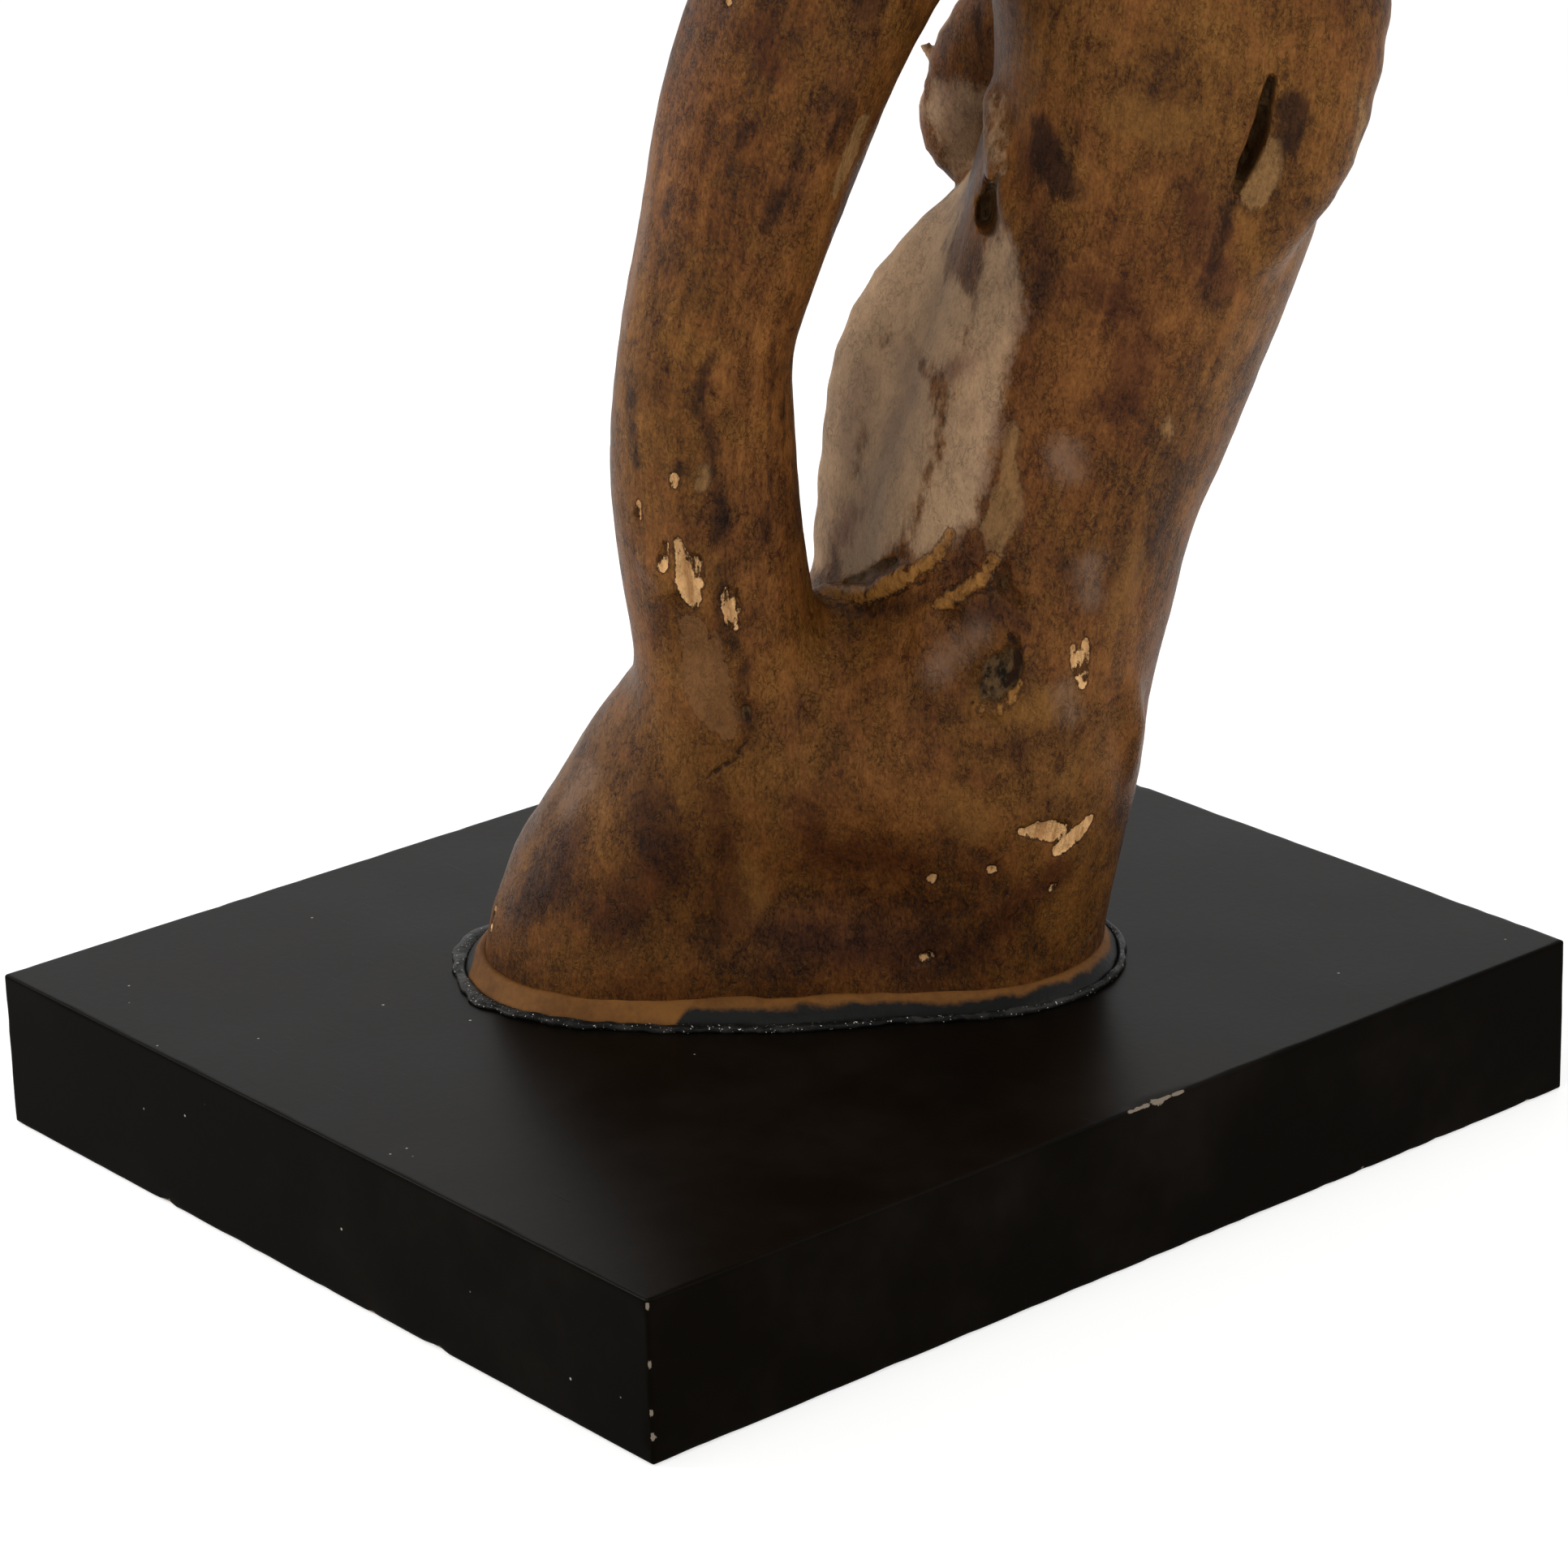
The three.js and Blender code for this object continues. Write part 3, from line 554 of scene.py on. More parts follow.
HOLLOW_FORMS = [(Stroke(in_full(stroke, height), deepen), width)
                for deepen, width, height, stroke in HOLLOWS]
FACE_HOLLOW_FORMS = [(Stroke(on_face(stroke), deepen), width) for deepen, width, stroke in FACE_HOLLOWS]
FACE_HOLLOW_FORMS.append((Stroke(EAR_HOLLOW[2], EAR_HOLLOW[0]), EAR_HOLLOW[1]))
WOOD_WORK = Work([(Stroke(in_full(stroke, height)), width) for width, height, stroke in ROLLS], HOLLOW_FORMS)
FACE_WORK = Work([(Stroke(on_face(stroke)), width) for width, stroke in FACE_ROLLS], FACE_HOLLOW_FORMS)
MARK_FORMS = {kind: [Stroke(in_full(stroke)) for stroke in strokes] for kind, strokes in MARKS.items()}
FINE_WORK = 6  # softest rim of what counts as fine work
FINE_FORMS = [form for form, width, *_ in WOOD_WORK.steps if width <= FINE_WORK] + MARK_FORMS["raw"]
FINE_FACE_FORMS = [form for form, width, *_ in FACE_WORK.steps if width <= FINE_WORK]


def wood_distance(points, centre, radius):
    distance = block_distance(points, centre, radius)
    distance = WOOD_WORK.apply(distance, points, centre, radius)
    return FACE_WORK.apply(distance, mirror(points), mirror(centre), radius)


# ---------------------------------------------------------------- skin over the field

# Grid in which the skin is found: finest where the wood is seen from close by.
GRID = [
    np.arange(-150, 152, 5.8),
    np.arange(-352, 424, 4.9),
    np.r_[np.arange(SEAT - 24, 690, 4.5), np.arange(690, 1572, 7.0)],
]
CHUNK = 6  # grid steps in a chunk that is skipped when the surface is far away
COARSE_BLOCK = 90.0
NEARNESS = 1.25  # how far the field may overstate a distance


def grid_values():
    """Field values at the grid's nodes; far from the surface only their signs are right."""
    counts = [len(line) for line in GRID]
    starts = [np.arange(0, count, CHUNK) for count in counts]
    ends = [np.minimum(start + CHUNK, count) - 1 for start, count in zip(starts, counts)]
    middles = [(line[start] + line[end]) / 2 for line, start, end in zip(GRID, starts, ends)]
    halves = [(line[end] - line[start]) / 2 for line, start, end in zip(GRID, starts, ends)]
    shape = [len(middle) for middle in middles]
    centres = np.stack(np.meshgrid(*middles, indexing="ij"), -1).reshape(-1, 3)
    radii = np.linalg.norm(np.stack(np.meshgrid(*halves, indexing="ij"), -1), axis=-1)
    coarse = in_blocks(centres, wood_distance, COARSE_BLOCK).reshape(shape)
    near = np.abs(coarse) < NEARNESS * radii + CHUNK
    chunk_of = np.ix_(*[np.arange(count) // CHUNK for count in counts])
    values = coarse[chunk_of]
    nodes = np.argwhere(near[chunk_of])
    places = np.stack([line[nodes[:, i]] for i, line in enumerate(GRID)], 1)
    values[tuple(nodes.T)] = in_blocks(places, wood_distance)
    return values


def corner(array, shift, cut=1):
    """The array without its last layers, moved by a shift of nodes."""
    spans = [slice(s, n - cut + s) for s, n in zip(shift, array.shape)]
    return array[tuple(spans)]


def close_pinches(values):
    """Makes wood of a node wherever two parts of the wood would meet only at a grid edge."""
    axes = np.eye(3, dtype=int)
    changed = True
    while changed:
        changed = False
        for u, v in ((axes[0], axes[1]), (axes[1], axes[2]), (axes[2], axes[0])):
            ring = [np.zeros(3, int), u, u + v, v]
            wood = [corner(values, shift) < 0 for shift in ring]
            crossed = (wood[0] == wood[2]) & (wood[1] == wood[3]) & (wood[0] != wood[1])
            for cell in np.argwhere(crossed):
                nodes = [tuple(cell + shift) for shift in ring]
                empty = [node for node in nodes if values[node] >= 0]
                if len(empty) == 2:
                    values[min(empty, key=lambda node: values[node])] = -0.5
                    changed = True
    return values


def surface_net(values):
    """One point in each cell that the surface crosses, and one quad across each crossed grid edge."""
    inside = values < 0
    shifts = [np.array([i, j, k]) for i in (0, 1) for j in (0, 1) for k in (0, 1)]
    wood = sum(corner(inside, shift).astype(int) for shift in shifts)
    cells = np.argwhere((wood > 0) & (wood < 8))
    index = np.full(wood.shape, -1)
    index[tuple(cells.T)] = np.arange(len(cells))
    total, crossings = np.zeros((len(cells), 3)), np.zeros(len(cells))
    for a in shifts:
        for b in shifts:
            if (b - a).sum() != 1 or (b < a).any():
                continue
            from_value, to_value = values[tuple((cells + a).T)], values[tuple((cells + b).T)]
            crossed = (from_value < 0) != (to_value < 0)
            t = np.where(crossed, from_value / np.where(crossed, from_value - to_value, 1), 0)
            total += (a + t[:, None] * (b - a)) * crossed[:, None]
            crossings += crossed
    steps = cells + total / crossings[:, None]
    points = np.stack([np.interp(steps[:, i], np.arange(len(GRID[i])), GRID[i]) for i in range(3)], 1)

    quads = []
    for axis in range(3):
        step = np.eye(3, dtype=int)[axis]
        u, v = np.eye(3, dtype=int)[(axis + 1) % 3], np.eye(3, dtype=int)[(axis + 2) % 3]
        first, last = corner(inside, [0, 0, 0]), corner(inside, step)
        edges = np.argwhere(first != last)
        edges = edges[(edges @ u > 0) & (edges @ v > 0)]
        ring = [index[tuple((edges - shift).T)] for shift in (u + v, v, 0 * u, u)]
        quad = np.stack(ring, 1)
        outward = inside[tuple(edges.T)]
        quad[~outward] = quad[~outward][:, ::-1]
        quads.append(quad)
    return points, np.vstack(quads)


EDGE_BASE = 1 << 24  # more than any point's number
# Distances from fine work, on the wood and on the face, at which quads are split, once and then again.
FINE_REACHES = [(6, 5), (1, -2)]
GRADIENT_REACH = 0.5
MARK_REACH = 14.0


def edge_keys(faces):
    """A number for each side of each face, the same from either side."""
    after = np.roll(faces, -1, axis=1)
    return np.minimum(faces, after) * EDGE_BASE + np.maximum(faces, after)


def split(points, quads, chosen, middles):
    """Splits the chosen quads in four, and notes the middle of each side that this halves."""
    old = quads[chosen]
    keys, side = np.unique(edge_keys(old), return_inverse=True)
    ends = np.stack([keys // EDGE_BASE, keys % EDGE_BASE], 1)
    middle = len(points) + np.arange(len(keys))
    centre = len(points) + len(keys) + np.arange(len(old))
    points = np.vstack([points, points[ends].mean(1), points[old].mean(1)])
    after = middle[side.reshape(old.shape)]
    before = np.roll(after, 1, axis=1)
    children = np.stack([old, after, np.repeat(centre[:, None], 4, 1), before], -1).reshape(-1, 4)
    middles.update(zip(keys.tolist(), middle.tolist()))
    return points, np.vstack([quads[~chosen], children])


def with_middles(quads, middles):
    """The corners of all faces in a row, and the number of corners of each."""

    def side(a, b):
        middle = middles.get(min(a, b) * EDGE_BASE + max(a, b))
        return [a] if middle is None else side(a, middle) + side(middle, b)

    touched = np.isin(edge_keys(quads), list(middles)).any(1)
    rings = [[corner for i in range(4) for corner in side(ring[i - 1], ring[i])]
             for ring in quads[touched].tolist()]
    corners = np.r_[quads[~touched].ravel(), [corner for ring in rings for corner in ring]]
    sizes = np.r_[np.full((~touched).sum(), 4), [len(ring) for ring in rings]]
    return corners.astype(np.int32), sizes.astype(np.int32)


def refine(points, quads):
    """Finer quads where the wood is finely worked."""
    middles = {}
    for reach, face_reach in FINE_REACHES:
        centres = points[quads].mean(1)
        chosen = stroke_distance(centres, FINE_FORMS) < reach
        chosen |= stroke_distance(mirror(centres), FINE_FACE_FORMS) < face_reach
        points, quads = split(points, quads, chosen, middles)
    return points, with_middles(quads, middles)


def slope(points):
    """Distances of the points to the skin, and unit vectors straight out of the wood."""
    ways = np.array([(1, 1, 1), (1, -1, -1), (-1, 1, -1), (-1, -1, 1)])
    values = [in_blocks(points + way * GRADIENT_REACH, wood_distance) for way in ways]
    rise = np.stack(values, 1) @ ways
    return np.mean(values, 0), rise / np.maximum(np.linalg.norm(rise, axis=1, keepdims=True), 1e-9)


# ---------------------------------------------------------------- unevenness of the wood's skin


def lattice_noise(points, seed):
    """Smooth noise between -1 and 1 that changes over one unit."""
    cell = np.floor(points).astype(np.int64)
    t = points - cell
    t = t * t * (3 - 2 * t)
    total = np.zeros(len(points))
    for shift in np.ndindex(2, 2, 2):
        at = cell + shift
        mixed = at[:, 0] * 374761393 + at[:, 1] * 668265263 + at[:, 2] * 2147483647 + seed * 1274126177
        mixed = (mixed ^ (mixed >> 13)) * 1274126177 & 0x7FFFFFFF
        mixed = (mixed ^ (mixed >> 16)) & 0xFFFF
        weight = np.prod(np.where(shift, t, 1 - t), axis=1)
        total += weight * (mixed / 32767.5 - 1)
    return total


LUMPS = [  # size along x, y, z; height
    ((90, 90, 130), 2.4), ((34, 34, 60), 1.0), ((11, 11, 46), 0.45), ((7, 7, 9), 0.18),
]
TORN_PLACES = [  # softness of the edge, unevenness, stroke
    (24, [((17, 17, 24), 5.0), ((6, 6, 14), 3.0)],
     [(-76, 150, 665, 26), (-84, 118, 620, 24), (-82, 124, 570, 12)]),  # end of the broken root
    (10, [((9, 9, 6), 1.6), ((4, 4, 3), 1.0)],
     [(30, 50, 344, 4), (62, 78, 366, 7), (88, 106, 366, 9), (93, 122, 378, 7)]),  # ledge
    (5, [((5, 5, 4), 2.2), ((3, 3, 3), 1.2)],
     [(104, 141, 336, 4), (104, 135, 322, 9), (103, 126, 310, 8)]),  # rotten knot
]
CHIP_DEPTH = 1.8
CHIP_EDGE = 1.6
MANE_STRANDS = ((13, 13, 150), 3.2)


def uneven(points, sizes_and_heights, seed):
    height = np.zeros(len(points))
    for i, (size, tall) in enumerate(sizes_and_heights):
        height += tall * lattice_noise(points / size, seed + i)
    return height


def fade(distance, width):
    """1 inside a mark, 0 outside it, with a soft edge of the given width."""
    t = np.clip(0.5 - distance / width, 0, 1)
    return t * t * (3 - 2 * t)


def stroke_distance(points, forms):
    """Distance to the nearest of the strokes, up to MARK_REACH."""
    best = np.full(len(points), MARK_REACH)
    for form in forms:
        gap = np.linalg.norm(points - form.centre, axis=1)
        near = np.flatnonzero(gap < form.reach + MARK_REACH)
        best[near] = np.minimum(best[near], form.distance(points[near]))
    return best


def roughen(points, normals):
    """Pushes the skin in and out: lumps, torn places, strands of the mane and chips."""
    height = uneven(points, LUMPS, 1)
    for i, (width, roughness, stroke) in enumerate(TORN_PLACES):
        height += fade(Stroke(stroke).distance(points), width) * uneven(points, roughness, 11 + 4 * i)
    mane = limb_distance(points, [CREST_NUMBER, *range(FIRST_LOCK, FIRST_LOCK + 2 * LOCKS_PER_SIDE)])
    size, tall = MANE_STRANDS
    strand = np.abs(lattice_noise(points / size, 31))
    in_mane = fade(mane - 4, 10) * np.clip((points[:, 2] - 700) / 120, 0, 1)
    height += in_mane * tall * (strand - 0.35)
    edge = 1.4 * lattice_noise(points / (3, 3, 7), 41)
    height -= CHIP_DEPTH * fade(stroke_distance(points, MARK_FORMS["raw"]) + edge, CHIP_EDGE)
    return points + normals * height[:, None]


def limb_distance(points, numbers):
    """Distance to the nearest of the numbered limbs, up to FAR."""
    form = Limbs({number: STATIONS[number] for number in numbers})

    def measure(block, centre, radius):
        found = form.distances(block, centre, radius)
        return np.min([*found.values(), np.full(len(block), FAR)], axis=0)

    return in_blocks(points, measure)


# ---------------------------------------------------------------- meshes


def turned(points):
    """Points of the carving's frame, in the row frame and in metres."""
    cos, sin = math.cos(CARVING_TURN), math.sin(CARVING_TURN)
    x, y, z = points.T
    return np.stack([x * cos - y * sin, x * sin + y * cos, z], 1) * MM


def mesh_piece(name, points, corners, sizes=4):
    """An object from points in metres, the corners of its faces in a row, and how many each face has."""
    mesh = bpy.data.meshes.new(name)
    mesh.vertices.add(len(points))
    mesh.vertices.foreach_set("co", np.ascontiguousarray(points, np.float32).ravel())
    corners = np.ravel(corners).astype(np.int32)
    sizes = np.full(len(corners) // 4, 4) if np.ndim(sizes) == 0 else sizes
    mesh.loops.add(len(corners))
    mesh.loops.foreach_set("vertex_index", corners)
    mesh.polygons.add(len(sizes))
    mesh.polygons.foreach_set("loop_start", (np.cumsum(sizes) - sizes).astype(np.int32))
    mesh.polygons.foreach_set("use_smooth", np.ones(len(sizes), bool))
    mesh.update(calc_edges=True)
    piece = bpy.data.objects.new(name, mesh)
    bpy.context.scene.collection.objects.link(piece)
    return piece


def set_attribute(piece, name, values):
    kind = "FLOAT" if values.ndim == 1 else "FLOAT_VECTOR"
    field = "value" if values.ndim == 1 else "vector"
    layer = piece.data.attributes.new(name, kind, "POINT")
    layer.data.foreach_set(field, np.ascontiguousarray(values, np.float32).ravel())


def finish_piece(piece, node, material):
    piece.data.materials.append(material)
    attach(piece, "root")
    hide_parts(node)


# ---------------------------------------------------------------- the carving

SPINES = [FRONT_NUMBER, BROAD_NUMBER, BLADE_NUMBER]
SPINE_REACH = 14  # over which the grain turns from one limb's spine to the next


def grain_places(points):
    """Places in the grain, in metres: across the fibres, and along them by height."""
    total, weights = np.zeros((len(points), 2)), np.zeros(len(points))
    for number in SPINES:
        weight = np.exp(-np.clip(limb_distance(points, [number]), -10, FAR) / SPINE_REACH)
        spine = np.array(STATIONS[number], float)
        for i in (0, 1):
            total[:, i] += weight * np.interp(points[:, 2], spine[:, 2], spine[:, i])
        weights += weight
    across = points[:, :2] - total / weights[:, None]
    return np.column_stack([across, points[:, 2]]) * MM


SCATTER = {  # marks on the sides that bear none yet: kind, count, length, radius
    "stain_and_shadow": (30, 40, 4), "shade": (60, 46, 11), "tan": (16, 34, 8), "grey": (6, 90, 8), "amber": (8, 40, 4),
    "ochre": (14, 40, 9), "raw": (22, 16, 2.4), "crack": (26, 44, 1.1), "painted_sheen": (10, 40, 9),
}
SEEN = [(40, -200, 100), (120, 330, 665)]  # the part of the wood that already bears its marks


def scatter_marks(points):
    """Adds marks of every kind, at places drawn from the skin's own points."""
    draw = np.random.default_rng(7)
    low, high = np.array(SEEN[0]), np.array(SEEN[1])
    bare = points[~((points > low) & (points < high)).all(1)]
    for kind, (count, length, radius) in SCATTER.items():
        for start in bare[draw.integers(len(bare), size=count)]:
            lean = draw.normal(0, 0.16, 2) * length
            size = radius * draw.uniform(0.5, 1.5)
            reach = length * draw.uniform(0.4, 1.4)
            stroke = []
            for t in (0, 0.5, 1):
                aim = start + np.array([lean[0] * t, lean[1] * t, reach * t])
                near = bare[np.argmin(((bare - aim) ** 2).sum(1))]
                stroke.append((*near, size * (0.5 + 0.5 * math.sin(math.pi * t))))
            MARK_FORMS[kind].append(Stroke(stroke))


DARK_HOLLOW = 6  # softest rim of a hollow that is painted dark inside: rot in the knot, painted shade in the slits, holes and shakes


def build_carving():
    seated = np.maximum(grid_values(), (SEAT - GRID[2])[None, None, :])
    points, faces = refine(*surface_net(close_pinches(seated)))
    on_wood = points[:, 2] > SEAT
    distance, normals = slope(points)
    points -= normals * (np.clip(distance, -3, 3) * on_wood)[:, None]
    fine = stroke_distance(points, FINE_FORMS) < FINE_REACHES[0][0]
    distance, normals[fine] = slope(points[fine])
    points[fine] -= normals[fine] * (np.clip(distance, -2, 2) * on_wood[fine])[:, None]
    scatter_marks(points)
    points = roughen(points, normals * on_wood[:, None])
    points[:, 2] = np.maximum(points[:, 2], SEAT)
    piece = mesh_piece("carved_horse_head", turned(points), *faces)
    set_attribute(piece, "grain", grain_places(points))
    for kind in MARKS:
        set_attribute(piece, kind, -stroke_distance(points, MARK_FORMS[kind]))
    # The narrow hollows are painted dark inside: painted shade, with rot in the knot.
    dark = [form for form, width in HOLLOW_FORMS if width <= DARK_HOLLOW]
    set_attribute(piece, "hollow", -stroke_distance(points, dark))
    finish_piece(piece, "driftwood_horse", driftwood_material())
    return piece


# ---------------------------------------------------------------- materials


class Shader:
    """A material whose nodes are wired in the order in which they are written."""

    def __init__(self, name):
        self.material = bpy.data.materials.new(name)
        self.material.use_nodes = True
        self.tree = self.material.node_tree
        self.surface = self.tree.nodes["Principled BSDF"]

    def node(self, kind, inputs=(), output=0, **settings):
        """A new node. Its inputs are given by name or number, as values or as other nodes' outputs."""
        node = self.tree.nodes.new("ShaderNode" + kind)
        for key, value in settings.items():
            setattr(node, key, value)
        for key, value in dict(inputs).items():
            self.feed(node.inputs[key], value)
        return node.outputs[output]

    def feed(self, socket, value):
        if isinstance(value, bpy.types.NodeSocket):
            self.tree.links.new(value, socket)
        else:
            socket.default_value = value

    def attribute(self, name, output="Fac"):
        return self.node("Attribute", output=output, attribute_name=name)

    def place(self):
        return self.node("TexCoord", output="Object")

    def rotated(self, vector, angles):
        return self.node("VectorRotate", {"Vector": vector, "Rotation": angles}, rotation_type="EULER_XYZ")

    def vector(self, operation, a, b):
        return self.node("VectorMath", {0: a, 1: b}, operation=operation)

    def noise(self, vector, scale, detail=3.0, roughness=0.5, output="Fac", distortion=0.0):
        """Noise of one scale, or of one scale for each axis."""
        if isinstance(scale, tuple):
            vector, scale = self.vector("MULTIPLY", vector, scale), 1
        inputs = {"Vector": vector, "Scale": scale, "Detail": detail, "Roughness": roughness,
                  "Distortion": distortion}
        return self.node("TexNoise", inputs, output)

    def math(self, operation, a, b=0.0):
        return self.node("Math", {0: a, 1: b}, operation=operation)

    def plus(self, value, *others):
        for other in others:
            value = self.math("ADD", value, other)
        return value

    def minus(self, value, *others):
        for other in others:
            value = self.math("SUBTRACT", value, other)
        return value

    def times(self, a, b):
        return self.math("MULTIPLY", a, b)

    def scaled(self, value, factor, offset=0.0):
        return self.node("Math", {0: value, 1: factor, 2: offset}, operation="MULTIPLY_ADD")

    def between(self, value, low, high, to_low=0.0, to_high=1.0):
        """Smooth step of the value from low to high."""
        inputs = {"Value": value, "From Min": low, "From Max": high, "To Min": to_low, "To Max": to_high}
        return self.node("MapRange", inputs, interpolation_type="SMOOTHSTEP")

    def mix(self, share, a, b, blend="MIX"):
        return self.node("Mix", {0: share, 6: colour(a), 7: colour(b)}, 2, data_type="RGBA", blend_type=blend)

    def ramp(self, value, stops):
        output = self.node("ValToRGB", {"Fac": value})
        elements = output.node.color_ramp.elements
        while len(elements) < len(stops):
            elements.new(0.5)
        for element, (position, tint) in zip(elements, stops):
            element.position = position
            element.color = (*tint, 1)
        return output

    def bump(self, height, distance, strength):
        return self.node("Bump", {"Height": height, "Distance": distance, "Strength": strength})

    def finish(self, **sockets):
        for name, value in sockets.items():
            self.feed(self.surface.inputs[name.replace("_", " ")], value)
        return self.material


def colour(value):
    return (*value, 1) if isinstance(value, tuple) else value


# Linear colours of the wood.
UMBER = (0.020, 0.0075, 0.0034)
OCHRE_DARK = (0.056, 0.0200, 0.0036)
OCHRE = (0.118, 0.0465, 0.0080)
OCHRE_PALE = (0.215, 0.094, 0.021)
RUSSET_DARK = (0.051, 0.0160, 0.0034)
RUSSET = (0.112, 0.0385, 0.0075)
RUSSET_PALE = (0.205, 0.080, 0.018)
CLOT_TINT = (0.42, 0.30, 0.36)
# This tint also paints the shadow under the ledge's lip.
STAIN_AND_SHADOW_TINT = (0.20, 0.165, 0.20)
# Broad darker zones, partly painted shade and partly darker wood.
SHADE_TINT = (0.50, 0.41, 0.46)
# Dark lines along some patches' edges, and painted shade round the chips.
EDGE_LINE_AND_CHIP_SHADE_TINT = (0.26, 0.22, 0.22)
GREY_DARK = (0.200, 0.125, 0.076)
GREY = (0.310, 0.198, 0.113)
GREY_LIGHT = (0.430, 0.275, 0.155)
TAN_DARK = (0.150, 0.078, 0.026)
TAN = (0.260, 0.142, 0.055)
OCHRE_GLOW = (0.225, 0.100, 0.022)
AMBER_DARK = (0.130, 0.052, 0.010)
AMBER = (0.290, 0.130, 0.030)
RAW_LIGHT = (0.620, 0.360, 0.155)
RAW_DARK = (0.360, 0.180, 0.068)
SCRAPED_DARK = (0.105, 0.046, 0.015)
SCRAPED = (0.175, 0.078, 0.026)
# Colour of the painted sheen.
PAINTED_SHEEN = (0.200, 0.122, 0.080)
# Inside the narrow hollows: rotten wood in the knot, painted shade in the slits and holes.
HOLLOW_SHADE_AND_ROT_DARK = (0.010, 0.007, 0.004)
HOLLOW_SHADE_AND_ROT_LIGHT = (0.105, 0.058, 0.024)
WOOD_GLOSS = 1.19  # refractive index that gives the wood its faint polish
WANDER = (0.022, 0.022, 0.022)  # how far the grain strays, in metres


def wood_patterns(s):
    """The patterns that the wood's colour and its unevenness share."""
    place = s.place()
    stray = s.vector("SUBTRACT", s.noise(place, 10, 3, output="Color"), (0.5, 0.5, 0.5))
    grain = s.vector("ADD", s.attribute("grain", "Vector"), s.vector("MULTIPLY", stray, WANDER))
    mottle = s.noise(place, (75, 75, 48), 6, 0.70)
    ragged = s.noise(place, (85, 85, 48), 7, 0.68)
    jagged = s.noise(place, (210, 210, 110), 5, 0.70)
    folds = s.noise(place, (230, 230, 150), 3, 0.6, distortion=0.8)
    crease = s.between(s.math("ABSOLUTE", s.minus(folds, 0.5)), 0.045, 0.0)
    return SimpleNamespace(
        height=s.node("SeparateXYZ", {0: place}, "Z"),
        zones=s.noise(place, 5.5, 3, 0.5),
        clouds=s.noise(place, 11, 9, 0.66, distortion=0.5),
        mottle=mottle,
        streaks=s.noise(grain, (120, 120, 9), 7, 0.66),
        speckle=s.noise(place, (560, 560, 330), 3, 0.65),
        hairs=s.noise(s.rotated(place, (0.35, 0.25, 0.5)), (760, 760, 150), 3, 0.62),
        blots=s.noise(place, (120, 120, 85), 7, 0.78, distortion=1.2),
        crease=s.times(crease, s.between(mottle, 0.62, 0.42)),
        jagged=jagged,
        break_up=s.plus(s.scaled(ragged, 1.3, -0.65), s.scaled(jagged, 0.9, -0.45)),
    )


def edge(s, wood, kind, raggedness):
    """Millimetres inside a mark's edge, which noise breaks up."""
    return s.plus(s.attribute(kind), s.scaled(wood.break_up, raggedness))


def bare_wood(s, wood):
    """The wood before any mark: ochre and russet, fibrous higher up, darker at the foot, with dark clots."""
    fibrous = s.between(wood.height, 0.24, 0.38, 0.08, 1.0)
    tone = s.plus(s.scaled(wood.clouds, 1.05, 0.010), s.scaled(wood.mottle, 0.44, -0.20),
                  s.times(s.scaled(wood.streaks, 0.60, -0.29), fibrous), s.scaled(wood.speckle, 0.50, -0.25),
                  s.scaled(wood.hairs, 0.34, -0.17))
    # Darker towards the foot; the fine creases are darkened where the bump sinks them, a painted shade.
    tone = s.minus(tone, s.between(wood.height, 0.27, 0.12, 0, 0.10), s.times(wood.crease, 0.13))
    ochre = s.ramp(tone, [(0.20, UMBER), (0.38, OCHRE_DARK), (0.58, OCHRE), (0.85, OCHRE_PALE)])
    russet = s.ramp(tone, [(0.20, UMBER), (0.38, RUSSET_DARK), (0.58, RUSSET), (0.85, RUSSET_PALE)])
    in_russet = s.between(s.plus(wood.zones, s.scaled(wood.mottle, 0.9, -0.45)), 0.38, 0.58)
    clots = s.times(s.between(wood.blots, 0.56, 0.60), s.between(wood.clouds, 0.58, 0.46))
    return s.mix(s.times(clots, 0.85), s.mix(in_russet, ochre, russet), CLOT_TINT, "MULTIPLY")


def with_patches(s, wood, skin):
    """The skin with its coloured patches, some of them with a dark line along the edge, and patches of
    painted sheen.
    """
    fine = s.plus(s.scaled(wood.speckle, 0.55), s.scaled(wood.mottle, 0.45))
    fibres = s.plus(s.scaled(fine, 0.6), s.scaled(wood.streaks, 0.4))
    weathered = s.plus(s.scaled(fine, 0.6, 0.2), s.scaled(wood.clouds, 0.5, -0.25))
    patches = [  # kind, colour, share of it, softness and raggedness of the edge, darkness of the line
        ("grey", s.ramp(weathered, [(0.34, GREY_DARK), (0.47, GREY), (0.64, GREY_LIGHT)]), 0.92, 7, 22, 0),
        ("ochre", s.ramp(fibres, [(0.38, AMBER_DARK), (0.60, OCHRE_GLOW)]), 0.55, 6, 16, 0),
        ("tan", s.ramp(fibres, [(0.38, TAN_DARK), (0.60, TAN)]), 0.70, 2.2, 13, 0.5),
        ("amber", s.ramp(fibres, [(0.38, AMBER_DARK), (0.56, AMBER)]), 0.95, 1.2, 9, 0.9),
        # Painted sheen: pale highlights laid on as colour.
        ("painted_sheen", PAINTED_SHEEN, 0.48, 9, 14, 0),
        ("scrape", s.ramp(fibres, [(0.36, SCRAPED_DARK), (0.60, SCRAPED)]), 0.80, 2.0, 18, 0.6),
    ]
    for kind, tint, share, softness, raggedness, darkness in patches:
        inside = edge(s, wood, kind, raggedness)
        if darkness:
            line = s.times(s.between(inside, -2.0, -0.6), s.between(inside, 0.6, -0.3))
            skin = s.mix(s.times(line, darkness), skin, EDGE_LINE_AND_CHIP_SHADE_TINT, "MULTIPLY")
        skin = s.mix(s.between(inside, -softness, softness, 0, share), skin, tint)
    return skin


